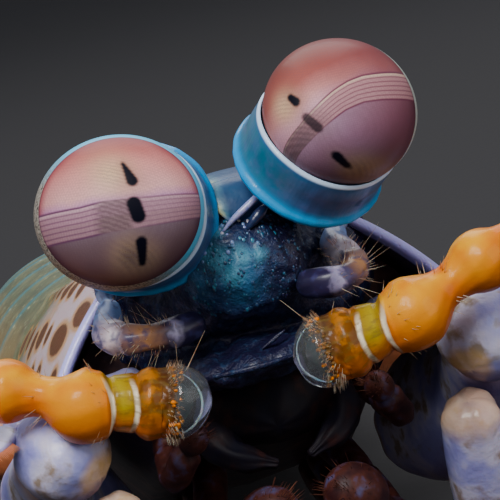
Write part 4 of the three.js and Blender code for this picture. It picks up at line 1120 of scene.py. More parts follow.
def cornea(eye):
    x, y, z = eye_axes(eye)
    across, upwards = (np.array(way) for way in eye["paint"])
    cap, cap_angle = unit(np.array(eye["cap"][0])), math.radians(eye["cap"][1])
    borders, lines, hatch = (np.array(eye[key]) for key in ("borders", "lines", "hatch"))
    turn = np.linspace(0, 2 * math.pi, CORNEA_SIDES, endpoint=False)
    rings, marks = [], {}
    for tilt in np.linspace(0.01, CORNEA_TILT, CORNEA_RINGS):
        local = np.stack([np.cos(turn) * math.sin(tilt), np.sin(turn) * math.sin(tilt),
            np.full(len(turn), math.cos(tilt))], 1)
        way = local @ np.array([x, y, z])
        rings.append(np.array(eye["at"]) + (local * CORNEA_RADII) @ np.array([x, y, z]))
        u, v = way @ across, way @ upwards - eye["shift"]
        low, high = (np.interp(u, borders[:, 0], borders[:, k]) for k in (1, 2))
        ink, halo = np.zeros(len(u)), np.zeros(len(u))
        for u0, v0, u1, v1, r0, r1, dark in eye["pupils"]:
            gap, t = to_segment(u, v, u0, v0, u1, v1)
            ragged = 0.002 * np.sin(v * 130)
            reach = r0 + (r1 - r0) * t + ragged
            ink = np.maximum(ink, dark * np.clip((reach - gap) / PUPIL_SOFTNESS + 0.5, 0, 1))
            halo = np.maximum(halo, np.exp(-(gap / (reach * 2.6)) ** 2))
        beige = np.zeros(len(u))
        for cu, cv, au, av in eye["beige"]:
            beige += np.exp(-((u - cu) / au) ** 2 - ((v - cv) / av) ** 2)
        from_cap = np.arccos(np.clip(way @ cap, -1, 1)) / cap_angle
        found = {"u": u, "v": v, "band": (v - low) / (high - low), "ink": ink, "halo": halo,
            "beige": beige, "lines": np.interp(u, lines[:, 0], lines[:, 1]),
            "hatch": np.interp(u, hatch[:, 0], hatch[:, 1]), "edge": from_cap}
        for key, values in found.items():
            marks.setdefault(key, []).append(values)
        marks.setdefault("eye_way", []).append(way)
    return skin(rings, marks)


def cornea_paint(name, above, below, border, band, rim, far, rim_end):
    """above and below are ramps of colour away from the midband, far the outer end's strength.
    The clear rim starts at 1 of the pigment's edge and stops at rim_end."""
    material, tree, shader = finish(name, Roughness=0.42, Specular_IOR_Level=0.12, Coat_Weight=0.05,
        Coat_Roughness=0.06, Coat_IOR=1.3)
    way = mark(tree, "eye_way", "Vector")
    u, v, across, edge = (mark(tree, key) for key in ("u", "v", "band", "edge"))
    cloud = noise(way, 2.6, 3)
    shift = swing(cloud, 0.16)
    height = plus(calc("ABSOLUTE", v), shift)
    upper, lower = ramp(height, above), ramp(height, below)
    base = blend(ramp(across, [(0.45, 0.0), (0.55, 1.0)]), lower, upper)
    outer_end = ramp(u, [(0.25, 0.0), (0.6, far * 0.5), (0.95, far)])
    base = blend(outer_end, base, border[0])
    half_edge = times(edge, 0.5)
    redder = ramp(half_edge, [(0.3, 0.0), (0.425, 0.25), (0.5, 0.95), (rim_end / 2, 0.8),
        (rim_end / 2 + 0.1, 0.15)])
    edge_tone = blend(ramp(across, [(0.0, 0.0), (1.0, 1.0)]), border[1], border[0])
    base = blend(redder, base, edge_tone)
    beige = times(mark(tree, "beige"), ramp(across, [(0.2, 0.5), (0.8, 0.9)]))
    base = blend(beige, base, (0.8, 0.52, 0.3))
    base = blend(times(times(mark(tree, "beige"), 0.7), ramp(across, [(0.2, 1.0), (0.8, 0.0)])), base,
        (0.17, 0.12, 0.09))
    base = blend(times(mark(tree, "halo"), 0.3), base, (0.2, 0.13, 0.09))
    # The midband lies from 0.2 to 0.8 of this ramp's length.
    place = plus(times(across, 0.6), 0.2)
    inside = ramp(place, [(0.18, 0.0), (0.21, 1.0), (0.79, 1.0), (0.82, 0.0)])
    hatch = times(mark(tree, "hatch"), 0.8)
    rows = blend(hatch, band[0], band[1])
    base = blend(times(inside, 0.85), base, rows)
    stops = [(0.165, 0.0), (0.2, 1.0), (0.235, 0.0)]
    for row in range(1, 6):
        middle = 0.2 + row * 0.1
        stops += [(middle - 0.024, 0.0), (middle, 0.7), (middle + 0.024, 0.0)]
    stops += [(0.755, 0.0), (0.795, 1.0), (0.835, 0.0)]
    line = times(ramp(place, stops), mark(tree, "lines"))
    base = blend(line, base, band[2])
    # A lighter lilac band just above the midband: a painted highlight.
    painted_highlight_above_band = times(ramp(place, [(0.7, 0.0), (0.765, 0.55), (0.785, 0.0)]), mark(tree, "lines"))
    base = blend(painted_highlight_above_band, base, band[3])
    zigzag = node(tree, "ShaderNodeTexWave", {"Vector": way, "Scale": 7.6, "Distortion": 2.2,
        "Detail": 1, "Detail Scale": 3}, wave_type="BANDS", bands_direction="DIAGONAL").outputs["Fac"]
    patch = calc("MAXIMUM", times(mark(tree, "hatch"), inside), times(mark(tree, "beige"), 0.6))
    base = blend(times(times(zigzag, patch), 0.5), base, (0.1, 0.06, 0.07))
    facet = cells(way, 36, 0.35)
    base = blend(ramp(facet, [(0.1, 0.0), (0.75, 0.3)]), base, (0.12, 0.06, 0.08))
    dots = times(ramp(facet, [(0.15, 1.0), (0.4, 0.0)]), mark(tree, "beige"))
    base = blend(times(dots, 0.5), base, (0.14, 0.06, 0.03))
    base = blend(mark(tree, "ink"), base, (0.002, 0.002, 0.008))
    # Past the pigment's edge the clear layer is painted as grain; its bright white and cyan tones are a
    # painted edge highlight.
    outside = ramp(half_edge, [(0.5, 0.0), (0.506, 1.0), (rim_end / 2, 1.0), (rim_end / 2 + 0.03, 0.0)])
    grain = ramp(noise(way, 34, 2), [(0.35, 0.0), (0.6, 1.0)])
    towards_cup = plus(times(u, 0.5), times(v, 0.4))
    clear = blend(ramp(plus(towards_cup, 0.5), [(0.25, 0.0), (0.6, 1.0)]), blend(grain, rim[0], rim[1]),
        rim[2])
    base = blend(outside, base, clear)
    base = blend(ramp(half_edge, [(0.487, 0.0), (0.498, 0.75), (0.505, 0.0)]), base, border[1])
    paint(shader, base)
    bump(shader, facet, 0.00001, 0.25)
    return material


# In each band list the last colour is the painted highlight above the midband.
# In each rim list the bright white and cyan colours are a painted edge highlight.
cornea_finish = {
    "right": cornea_paint(
        "cornea_right",
        [(0.14, (0.6, 0.3, 0.5)), (0.27, (0.82, 0.42, 0.4)), (0.55, (0.72, 0.28, 0.25)),
         (0.8, (0.5, 0.13, 0.11)), (1.0, (0.28, 0.06, 0.06))],
        [(0.2, (0.19, 0.13, 0.165)), (0.4, (0.16, 0.1, 0.115)), (0.75, (0.135, 0.07, 0.08)),
         (1.0, (0.1, 0.045, 0.05))],
        ((0.3, 0.03, 0.045), (0.06, 0.012, 0.03)),
        [(0.42, 0.23, 0.27), (0.2, 0.13, 0.13), (0.1, 0.025, 0.09), (0.85, 0.55, 0.6)],
        [(0.06, 0.05, 0.045), (0.4, 0.36, 0.3), (0.12, 0.5, 0.75)], 0.0, 1.3),
    "left": cornea_paint(
        "cornea_left",
        [(0.18, (0.66, 0.33, 0.4)), (0.35, (0.62, 0.25, 0.23)), (0.6, (0.36, 0.09, 0.07)),
         (1.0, (0.2, 0.035, 0.02))],
        [(0.12, (0.36, 0.21, 0.3)), (0.35, (0.26, 0.13, 0.2)), (0.7, (0.11, 0.055, 0.08)),
         (1.0, (0.07, 0.03, 0.045))],
        ((0.17, 0.02, 0.025), (0.08, 0.015, 0.03)),
        [(0.5, 0.25, 0.26), (0.1, 0.07, 0.08), (0.11, 0.008, 0.045), (0.95, 0.75, 0.5)],
        [(0.4, 0.5, 0.7), (0.7, 0.8, 0.95), (0.45, 0.5, 0.45)], 0.7, 1.14),
}
for name, eye in EYES.items():
    piece(f"cornea_{name}", [cornea(eye)], cornea_finish[name], [f"eye_{name}"])


# Eyestalks: a cup of thin blue shell round the back of each cornea, with a pale lip at its mouth,
# partly a painted highlight, and a bright rim behind, then a narrow neck down to the head.
# How far behind the cornea's middle each ring lies, and its radii along and across the band.
CUP_ROWS = [(1.28, 4.17, 3.79), (1.32, 4.26, 3.85), (1.44, 4.34, 3.9), (1.7, 4.34, 3.88),
    (2.4, 4.3, 3.9), (3.2, 4.24, 3.86), (3.75, 4.32, 3.94), (4.05, 4.5, 4.1), (4.3, 4.5, 4.1),
    (4.6, 4.2, 3.85), (4.85, 3.5, 3.2), (5.1, 2.7, 2.5), (5.6, 2.1, 1.95)]
CUP_LINING = [(1.75, 3.9, 3.55), (1.38, 4.1, 3.72)]


def cup(eye):
    x, y, z = eye_axes(eye)
    turn = np.linspace(0, 2 * math.pi, 140, endpoint=False)
    c, s = (np.sign(v) * np.abs(v) ** 0.93 for v in (np.cos(turn), np.sin(turn)))
    rings, marks = [], {"behind": [], "turned": []}
    table = [(i, *row) for i, row in enumerate(CUP_ROWS)]
    rows = CUP_LINING + [eased(table, t)[0] for t in np.linspace(0, len(CUP_ROWS) - 1, 70)]
    for back, rx, ry in rows:
        ripple = 0.012 * np.sin(turn * 23 + 2 * np.sin(turn * 5)) * np.clip((back - 1.7) / 0.6, 0, 1)
        ripple = ripple + 0.05 * np.sin(turn * 3 + back) * np.clip((back - 1.8) / 1.5, 0, 1)
        ring = (np.array(eye["at"]) - z * back + np.outer(c * (rx + ripple), x)
            + np.outer(s * (ry + ripple), y))
        rings.append(ring)
        marks["behind"].append(np.full(len(turn), back))
        marks["turned"].append(turn)
    return skin(rings, marks)


stalk_blue, tree, shader = finish("stalk_blue", Roughness=0.32, Coat_Weight=0.25, Coat_Roughness=0.1,
    Specular_IOR_Level=0.3)
spot_of = places(tree)
fine = noise(spot_of, 1.6, 4)
back = times(minus(mark(tree, "behind"), 1), 0.2)
# The pale white-blue lip at the cup's mouth is partly its own pale rim and partly a painted highlight.
length = ramp(back, [(0.06, (0.55, 0.7, 0.9)), (0.085, (0.6, 0.75, 0.95)), (0.11, (0.03, 0.14, 0.36)),
    (0.3, (0.045, 0.075, 0.19)), (0.5, (0.02, 0.1, 0.28)), (0.6, (0.0, 0.3, 0.66)),
    (0.68, (0.0, 0.32, 0.75)), (0.76, (0.01, 0.12, 0.36)), (0.85, (0.02, 0.06, 0.16)),
    (1.0, (0.02, 0.05, 0.12))])
wide_way = mark(tree, "turned")
teal_side = ramp(times(calc("ABSOLUTE", minus(wide_way, 2.5)), 0.3), [(0.12, 0.9), (0.34, 0.0)])
in_cup = ramp(back, [(0.1, 0.0), (0.15, 1.0), (0.5, 1.0), (0.6, 0.0)])
length = blend(times(teal_side, in_cup), length, (0.004, 0.16, 0.24))
streaks = node(tree, "ShaderNodeTexWave", {"Vector": mark(tree, "turned", "Vector"), "Scale": 5,
    "Distortion": 3, "Detail": 2}).outputs["Fac"]
lilac = times(ramp(fine, [(0.3, 0.0), (0.75, 0.5)]), ramp(back,
    [(0.12, 0.0), (0.17, 1.0), (0.48, 1.0), (0.55, 0.0)]))
base = blend(lilac, length, (0.1, 0.12, 0.3))
paint(shader, base)
bump(shader, plus(fine, times(streaks, 0.08)), 0.00006, 0.4)
for name, eye in EYES.items():
    _, _, z = eye_axes(eye)
    at, root = np.array(eye["at"]), np.array(eye["root"])
    neck = tube([at - z * 4.6, at - z * 6, root], [2.2, 1.95, 1.75, 1.85], sides=48, steps=30)
    neck[2]["behind"] = np.full(len(neck[0]), 5.6)
    piece(f"eye_cup_{name}", [cup(eye), neck], stalk_blue, [f"eyestalk_{name}"])


# Antennae: each starts in a clear glassy cap beside the mouth. A collar of orange granules and
# short bristles follows, then a brown ring and an olive ring with white seams, orange bulbs that
# look like beads, and a long feeler made of many short links.
ANTENNAE = {
    "right": {
        "cap": [(-4.3, -11.7, 27.9), (-5.4, -11.6, 28.3), (-6.7, -11.5, 28.6)],
        "beads": [(-6.9, -11.5, 28.6), (-9, -11.3, 29.2), (-10.9, -11.2, 29.6), (-12.6, -10.4, 30.4),
                  (-14.6, -9.6, 31.1), (-18, -9.4, 31.6)],
        "feeler": [(-18.3, -9.4, 31.6), (-26, -14, 36), (-38, -30, 40), (-44, -50, 38)],
        "hairs": [((-5.14, -11.7, 30.05), (-3.78, -12.12, 31.89))],
    },
    "left": {
        "cap": [(0.3, -12.3, 29.1), (1.2, -12.4, 29.1), (2.5, -12.6, 29.2)],
        "beads": [(2.7, -12.6, 29.2), (4.9, -12.9, 29.6), (6.6, -13.1, 29.9), (8.8, -12.8, 30.7),
                  (11, -12.6, 31.5), (15, -12.4, 32.6)],
        "feeler": [(15.3, -12.4, 32.7), (24, -16, 37), (37, -31, 41), (44, -50, 39)],
        "hairs": [((1.61, -12.71, 30.73), (0.28, -12.86, 32.51)), ((2.5, -13.0, 30.7), (3.0, -12.9, 31.7))],
    },
}
BEAD_RADII = [1.8, 1.85, 1.68, 1.48, 1.5, 1.8, 1.98, 1.92, 1.58, 1.2, 1.08, 1.22, 1.55, 1.7, 1.55, 1.22,
    1.12, 1.3, 1.1, 0.8]
CAP_RADII = [0.5, 1.3, 1.7, 1.9, 1.95, 1.9]
FEELER_RADII = [0.62, 0.5, 0.42, 0.34, 0.25]
COLLAR, COLLAR_GRAINS, COLLAR_HAIRS = 0.85, 130, 300


def seams(t, angle, distance):
    """Where the two white seams sink in, and the rings between them swell."""
    step = sum(size * math.exp(-((distance - place) / width) ** 2) for place, width,
        size in ((0.6, 0.3, 0.07), (1.3, 0.17, -0.13), (1.95, 0.3, 0.04), (2.6, 0.17, -0.15),
        (2.95, 0.12, 0.05)))
    return step + 0.012 * np.sin(angle * 11 + distance * 3)


def granular(t, angle, distance):
    return 0.03 * np.sin(angle * 9 + distance * 7) + 0.02 * np.sin(angle * 17 - distance * 13)


def surface_roots(path, radii, count, chance, span, length, thick, forward=0.5):
    """Bristle roots spread over a limb: span is the stretch along it, from 0 to 1."""
    line, run = curve(path)
    roots = []
    for _ in range(count):
        t = chance.uniform(*span)
        at = place_on(line, run, t * run[-1])
        on = place_on(line, run, min(t + 0.02, 1) * run[-1])
        back = place_on(line, run, max(t - 0.02, 0) * run[-1])
        way = unit(on - back)
        x, y, _ = frame_along(way)
        turn = chance.uniform(0, 2 * math.pi)
        out = x * math.cos(turn) + y * math.sin(turn)
        r = np.interp(t, np.linspace(0, 1, len(radii)), radii)
        roots.append((at + out * r * 0.97, out + way * forward, chance.uniform(*length), thick))
    return roots


def links(name, path, radii, length, material, nodes):
    """A feeler of short barrel-shaped links along a curve."""
    line, run = curve(path)
    roots, along = [], 0.0
    while along < run[-1]:
        at, on = (place_on(line, run, min(along + step, run[-1])) for step in (0, 0.05))
        if along + 0.05 >= run[-1]:
            break
        r = np.interp(along / run[-1], np.linspace(0, 1, len(radii)), radii)
        roots.append((at, unit(on - at), length * 1.12, r))
        along += length
    return bristles(name, roots, material, nodes, bend=0, sides=12, tip=0.94, bulge=0.55)


bead_orange, tree, shader = finish("bead_orange", Roughness=0.34, Specular_IOR_Level=0.12,
    Coat_Weight=0.12, Coat_Roughness=0.06)
spot_of = places(tree)
fine = noise(spot_of, 2.2, 4)
soft = noise(spot_of, 0.6, 2)
reach = plus(mark(tree, "reach"), swing(fine, 0.12))
place = calc("DIVIDE", plus(reach, 1), 13)


def along_antenna(stops):
    """Ramp stops given in millimetres from the first ring."""
    return [((place + 1) / 13, color) for place, color in stops]


facing = node(tree, "ShaderNodeSeparateXYZ", {0: mark(tree, "facing", "Vector")})
bowed = times(times(facing.outputs[2], facing.outputs[2]), 0.03)
ring_at = minus(place, bowed)
rings = ramp(ring_at, along_antenna(
    [(-0.9, (0.2, 0.1, 0.035)), (-0.55, (0.075, 0.035, 0.015)), (-0.2, (0.17, 0.06, 0.008)),
     (0.15, (0.36, 0.12, 0.004)), (0.6, (0.44, 0.14, 0.002)), (1.2, (0.2, 0.07, 0.003)),
     (1.45, (0.3, 0.18, 0.004)), (2.0, (0.36, 0.26, 0.004)), (2.45, (0.25, 0.13, 0.003)),
     (2.85, (0.66, 0.16, 0.0)), (3.4, (0.7, 0.21, 0.0)), (4.6, (0.74, 0.25, 0.0)),
     (6.4, (0.62, 0.13, 0.0)), (8.0, (0.74, 0.25, 0.0)), (10, (0.66, 0.16, 0.0)),
     (12, (0.55, 0.1, 0.0))]))
# The downward-facing side of the stalk is painted a deeper orange-red: painted shade.
low = ramp(times(minus(1, facing.outputs[2]), 0.5), [(0.46, 0.0), (0.78, 0.88)])
rings = blend(low, rings, (0.62, 0.13, 0.0))
first_ring = times(calc("LESS_THAN", reach, 1.2), calc("GREATER_THAN", reach, -0.3))
burnt = times(ramp(noise(spot_of, 1.3, 3), [(0.44, 0.0), (0.54, 0.7)]),
    times(first_ring, minus(1, low)))
rings = blend(burnt, rings, (0.07, 0.02, 0.003))
# The pale seams are widest at the front of each ring and taper to nothing above and below.
seam = ramp(ring_at, along_antenna([(1.08, 0.0), (1.2, 1.0), (1.34, 1.0), (1.44, 0.0), (2.42, 0.0),
    (2.54, 1.0), (2.7, 1.0), (2.8, 0.0)]))
front = ramp(times(facing.outputs[1], -1), [(0.35, 0.0), (0.85, 1.0)])
rings = blend(times(seam, front), rings, (0.85, 0.72, 0.5))
# The upward-facing tops of the bulbs are painted a brighter orange: a painted highlight.
painted_highlight_on_bulbs = times(ramp(facing.outputs[2], [(0.1, 0.0), (0.8, 0.6)]), ramp(soft, [(0.35, 0.0), (0.6, 1.0)]))
painted_highlight_on_bulbs = times(painted_highlight_on_bulbs, calc("GREATER_THAN", reach, 2.9))
base = blend(painted_highlight_on_bulbs, rings, (0.85, 0.42, 0.0))
streak = node(tree, "ShaderNodeTexNoise", {"Vector": node(tree, "ShaderNodeCombineXYZ", {
    "X": times(mark(tree, "turn"), 30), "Y": times(reach, 1.2)}).outputs[0],
    "Scale": 1.0, "Detail": 3}).outputs["Fac"]
base = blend(times(ramp(streak, [(0.5, 0.0), (0.62, 0.5)]), calc("LESS_THAN", reach, 2.5)), base,
    (0.16, 0.1, 0.02))
paint(shader, base)
bump(shader, plus(fine, times(streak, 0.6)), 0.00006, 0.4)

cap_glass, tree, shader = finish("clear_cap", Roughness=0.1, IOR=1.2, Transmission_Weight=0.95,
    Coat_Weight=0.3, Coat_Roughness=0.05)
spot_of = places(tree)
fine = noise(spot_of, 1.2, 3)
paint(shader, blend(fine, (0.7, 0.82, 0.9), (0.92, 0.95, 0.95)))
bump(shader, fine, 0.00012, 0.3)
cap_core, tree, shader = finish("cap_core", Roughness=0.5, Subsurface_Weight=0.3,
    Subsurface_Scale=0.0006)
fine = noise(places(tree), 1.1, 4)
core_tone = ramp(fine, [(0.3, (0.01, 0.018, 0.02)), (0.55, (0.03, 0.04, 0.04)),
    (0.75, (0.07, 0.06, 0.08))])
paint(shader, blend(mark(tree, "rim"), core_tone, (0.55, 0.62, 0.66)))
hair_tan = clouded("tan_hair", 1.2, 2, [(0.35, (0.25, 0.1, 0.04)), (0.6, (0.55, 0.4, 0.28))],
    Roughness=0.5, Subsurface_Weight=0.3, Subsurface_Scale=0.0004)
feeler_orange = clouded("feeler_orange", 0.22, 2, [(0.42, (0.75, 0.14, 0.01)), (0.5, (0.6, 0.2, 0.05)),
    (0.56, (0.35, 0.05, 0.02))], Roughness=0.35, Coat_Weight=0.3, Coat_Roughness=0.15,
    Subsurface_Weight=0.15, Subsurface_Scale=0.0005)

for name, antenna in ANTENNAE.items():
    chance = random.Random(80 + len(name))
    nodes = [f"antenna_{name}"]
    stem = tube(antenna["beads"], BEAD_RADII, sides=64, steps=220, relief=seams,
        round_ends=(False, True))
    end = np.array(antenna["cap"][-1])
    way = unit(np.array(antenna["beads"][1]) - antenna["beads"][0])
    start = end - way * COLLAR
    collar = tube([start, end, antenna["beads"][0] + way * 0.4], [1.72, 1.8, 1.78], sides=96, steps=24,
        relief=granular, round_ends=(True, False))
    collar[2]["reach"] = collar[2]["reach"] - COLLAR - 0.2
    grains = []
    x, y, z = frame_along(way)
    for _ in range(COLLAR_GRAINS):
        turn = chance.uniform(0, 2 * math.pi)
        size = chance.uniform(0.05, 0.13)
        at = start + way * chance.uniform(0.0, 0.6) + (x * math.cos(turn) + y * math.sin(turn)) * 1.8
        grain = ball(at, (x, y, z), (size, size, size * 1.2), 12, 8)
        grain[2]["reach"] = np.full(len(grain[0]), chance.choice((0.6, 3.2, -0.9, -0.4, -0.4)))
        grains.append(grain)
    piece(f"antenna_beads_{name}", [stem, collar, *grains], bead_orange, nodes)
    roots = surface_roots([start, end], [1.78, 1.85], COLLAR_HAIRS, chance, (0.0, 0.95), (0.2, 0.6),
        0.02, -0.3)
    roots += surface_roots(antenna["beads"], BEAD_RADII, 26, chance, (0.24, 0.3), (0.3, 0.8), 0.024, 0.5)
    roots += surface_roots(antenna["beads"], BEAD_RADII, 16, chance, (0.45, 0.55), (0.4, 1.0), 0.026, 0.5)
    for root, tip in antenna["hairs"]:
        lean = np.array(tip) - root
        roots.append((np.array(root) - unit(lean) * 0.5, lean, np.linalg.norm(lean) + 0.5, 0.045))
    bristles(f"antenna_bristles_{name}", roots, hair_tan, nodes, bend=0.12)
    piece(f"antenna_cap_{name}", [tube(antenna["cap"], CAP_RADII, sides=64, steps=60)], cap_glass,
        [f"antenna_base_{name}"])
    core = tube(antenna["cap"][1:], [0.3, 0.7, 1.1, 1.5, 1.7], sides=32, steps=24)
    core[2]["rim"] = np.zeros(len(core[0]))
    hoop_at = np.array(antenna["cap"][2], float)
    tip_way = unit(np.array(antenna["cap"][0]) - hoop_at)
    cross_way = unit(np.array((0.15, 0.1, 1)) - tip_way * tip_way.dot((0.15, 0.1, 1)))
    hoop_ring = [hoop_at + tip_way * 1.75 * math.cos(turn) + cross_way * 1.5 * math.sin(turn)
        for turn in np.linspace(-1.25, 1.25, 20)]
    hoop = tube(hoop_ring, [0.02, 0.06, 0.05, 0.015], sides=8, steps=60)
    hoop[2]["rim"] = np.ones(len(hoop[0]))
    piece(f"antenna_core_{name}", [core, hoop], cap_core, [f"antenna_base_{name}"])
    links(f"feeler_{name}", antenna["feeler"], FEELER_RADII, 0.42, feeler_orange,
        [f"antenna_feeler_{name}"])


# Antennules: three-jointed stalks that pass under the eyes and rise behind them, each with three
# thin feelers swept back. They are pale blue and cream, with tan tufts at the first joint.
ANTENNULES = {
    "right": {
        "stem": [(-3.2, -7.2, 31.1), (-6.3, -8.4, 31.4), (-8.2, -7.1, 31.8), (-7.8, -5.3, 32.8),
                 (-7.5, -3.3, 34), (-6.8, -0.4, 35.5)],
        "tips": [(-5.2, 30, 34.9), (-6.8, 27, 33.7), (-3.4, 25, 36.2)],
    },
    "left": {
        "stem": [(2.1, -8, 31.9), (4, -9.2, 31.8), (5.4, -8, 31.9), (5.1, -5.2, 32.9), (6.5, -2.2, 34),
                 (7.8, 1, 35.6)],
        "tips": [(12, 30, 37.6), (14.6, 27, 36.2), (10, 25, 38.4)],
    },
}
STALK_RADII = [0.7, 0.85, 0.7, 0.95, 0.8, 0.55, 0.62, 0.55, 0.5]


def creases(t, angle, distance):
    return 0.03 * np.sin(angle * 5 + distance * 2) - 0.2 * sum(
        math.exp(-((t - k) / 0.018) ** 2) for k in (0.36, 0.62, 0.97))


antennule_paint, tree, shader = finish("antennule_paint", Roughness=0.38, Specular_IOR_Level=0.3,
    Coat_Weight=0.15, Coat_Roughness=0.15, Subsurface_Weight=0.1, Subsurface_Scale=0.0005)
spot_of = places(tree)
fine = noise(spot_of, 1.5, 4)
base = ramp(plus(mark(tree, "along"), swing(fine, 0.1)), [(0.0, (0.01, 0.01, 0.03)),
    (0.13, (0.02, 0.013, 0.05)), (0.16, (0.3, 0.26, 0.4)), (0.19, (0.05, 0.03, 0.06)),
    (0.26, (0.42, 0.2, 0.08)), (0.33, (0.2, 0.12, 0.14)), (0.37, (0.7, 0.6, 0.66)),
    (0.43, (0.3, 0.25, 0.36)), (0.48, (0.1, 0.16, 0.36)), (0.6, (0.2, 0.33, 0.66)),
    (0.63, (0.5, 0.6, 0.85)), (0.67, (0.1, 0.17, 0.4)), (1.0, (0.3, 0.3, 0.5))])
base = blend(ramp(fine, [(0.5, 0.0), (0.66, 0.75)]), base, (0.04, 0.04, 0.13))
paint(shader, base)
bump(shader, fine, 0.00008, 0.5)
feeler_pale = clouded("feeler_pale", 0.3, 2, [(0.42, (0.55, 0.5, 0.6)), (0.5, (0.7, 0.5, 0.3)),
    (0.58, (0.3, 0.08, 0.04))], Roughness=0.35, Coat_Weight=0.3, Coat_Roughness=0.15,
    Subsurface_Weight=0.15, Subsurface_Scale=0.0004)
for name, antennule in ANTENNULES.items():
    nodes = [f"antennule_{name}"]
    chance = random.Random(90 + len(name))
    piece(f"antennule_stalk_{name}", [tube(antennule["stem"], STALK_RADII, sides=40, steps=110,
        relief=creases)], antennule_paint, nodes)
    tufts = surface_roots(antennule["stem"], STALK_RADII, 120, chance, (0.16, 0.46), (0.2, 0.55), 0.018,
        0.3)
    tufts += surface_roots(antennule["stem"], STALK_RADII, 30, chance, (0.58, 0.98), (0.2, 0.5), 0.02,
        0.5)
    tufts += surface_roots(antennule["stem"], STALK_RADII, 16, chance, (0.14, 0.42), (1.2, 2.2), 0.018,
        0.5)
    bristles(f"antennule_tufts_{name}", tufts, hair_tan, nodes, bend=0.15)
    end = np.array(antennule["stem"][-1])
    for number, tip in enumerate(antennule["tips"]):
        tip = np.array(tip)
        middle = (end + tip) / 2 + (0.15 * (tip[0] - end[0]), 0, 1.2)
        links(f"antennule_feeler_{number + 1}_{name}", [end + (0, -0.6, -0.3), middle, tip],
            [0.5, 0.42, 0.34, 0.25], 0.4, feeler_pale, nodes)


# Antennal scales: a short jointed stem at each side of the mouth carries an oval blade, red with
# a pale lilac middle and a dense fringe of red hairs.
scale_paint, tree, shader = finish("scale_paint", Roughness=0.34, Coat_Weight=0.4, Coat_Roughness=0.15,
    Subsurface_Weight=0.2, Subsurface_Scale=0.0006)
spot_of = places(tree)
fine = noise(spot_of, 1.2, 4)
along = plus(mark(tree, "along"), swing(fine, 0.2))
base = ramp(along, [(0.0, (0.4, 0.38, 0.65)), (0.3, (0.45, 0.4, 0.7)), (0.5, (0.7, 0.4, 0.25)),
    (0.7, (0.7, 0.14, 0.03)), (1.0, (0.8, 0.1, 0.02))])
base = blend(ramp(fine, [(0.55, 0.0), (0.7, 0.7)]), base, (0.2, 0.16, 0.06))
paint(shader, base)
bump(shader, fine, 0.00008, 0.5)
SCALE_SIZES = [(0.8, 0.6), (2.8, 0.5), (3.7, 0.45), (3.7, 0.4), (2.6, 0.35), (0.8, 0.3)]
for name, s in SIDES:
    chance = random.Random(100 + s)
    stem = tube([(s * 6.6, -0.6, 26.8), (s * 11, -3.6, 27.4), (s * 15, -6.2, 27.8)], [1.5, 1.3, 1.2, 1],
        sides=28, steps=50, relief=creases)
    path = [(s * 14.4, -6, 27.8), (s * 20, -9.4, 28.2), (s * 26, -14, 28.4)]
    wide = np.array([s * 0.6, 0.7, 0])
    blade = tube(path, SCALE_SIZES, sides=40, steps=60, wide=wide)
    stem[2]["along"] = stem[2]["along"] * 0.25
    nodes = [f"antennal_scale_{name}"]
    piece(f"scale_blade_{name}", [stem, blade], scale_paint, nodes)
    line, run = curve(path)
    table = [(i / 5, r[0]) for i, r in enumerate(SCALE_SIZES)]
    roots = []
    for t in np.linspace(0.12, 1, 110):
        at, on = (place_on(line, run, min(t + step, 1) * run[-1]) for step in (0, 0.02))
        ahead = unit(np.array(path[-1], float) - path[0])
        side_way = unit(wide - ahead * wide.dot(ahead))
        half = eased(table, t)[0][0]
        for side in (-1, 1):
            lean = side_way * side * (1.15 - t) + ahead * (0.35 + 0.6 * t)
            roots.append((at + side_way * side * half * 0.92, lean, chance.uniform(1.4, 2.0), 0.05))
    bristles(f"scale_fringe_{name}", roots, hair_red, nodes, bend=0.08, sides=4)


# Striking limbs, folded under the head: a long upper joint, a short wrist joint, the long hand
# and the hammer: a swollen heel with a thin finger folded along the hand. The shell is lilac and
# cream with olive patches, and each joint fits into the next with a thin pale membrane.
WRIST_SPREAD = {"right": 1.6, "left": 0.5}


def dimples(t, angle, distance):
    end = math.exp(-(t / 0.05) ** 2) + math.exp(-((1 - t) / 0.05) ** 2)
    return 0.09 * np.sin(angle * 3 + t * 5) + 0.05 * np.sin(angle * 7 - t * 9) + 0.14 * end


limb_paint, tree, shader = finish("limb_paint", Roughness=0.34, Coat_Weight=0.2, Coat_Roughness=0.12,
    Specular_IOR_Level=0.35, Subsurface_Weight=0.08, Subsurface_Scale=0.0006)
spot_of = places(tree)
broad = noise(spot_of, 0.28, 3)
mottle = noise(spot_of, 0.7, 4)
fine = noise(spot_of, 2.6, 4)
base = blend(ramp(broad, [(0.38, 0.0), (0.62, 1.0)]), (0.26, 0.26, 0.62), (0.58, 0.58, 0.9))
patchy = plus(broad, swing(fine, 0.12))
base = blend(ramp(patchy, [(0.46, 0.0), (0.56, 0.7)]), base, (0.68, 0.62, 0.72))
base = blend(ramp(times(mottle, ramp(patchy, [(0.46, 0.7), (0.62, 1.0)])), [(0.44, 0.0), (0.56, 0.8)]),
    base, (0.26, 0.17, 0.06))
ends = ramp(calc("ABSOLUTE", minus(mark(tree, "along"), 0.5)), [(0.41, 0.0), (0.46, 0.7)])
base = blend(ends, base, (0.75, 0.45, 0.16))
# The downward-facing side of each joint is painted dark purple: painted shade.
under = node(tree, "ShaderNodeSeparateXYZ", {0: mark(tree, "facing", "Vector")}).outputs[2]
base = blend(ramp(times(under, -1), [(0.15, 0.0), (0.8, 0.8)]), base, (0.1, 0.06, 0.16))
paint(shader, base)
bump(shader, plus(fine, mottle), 0.0001, 0.5)

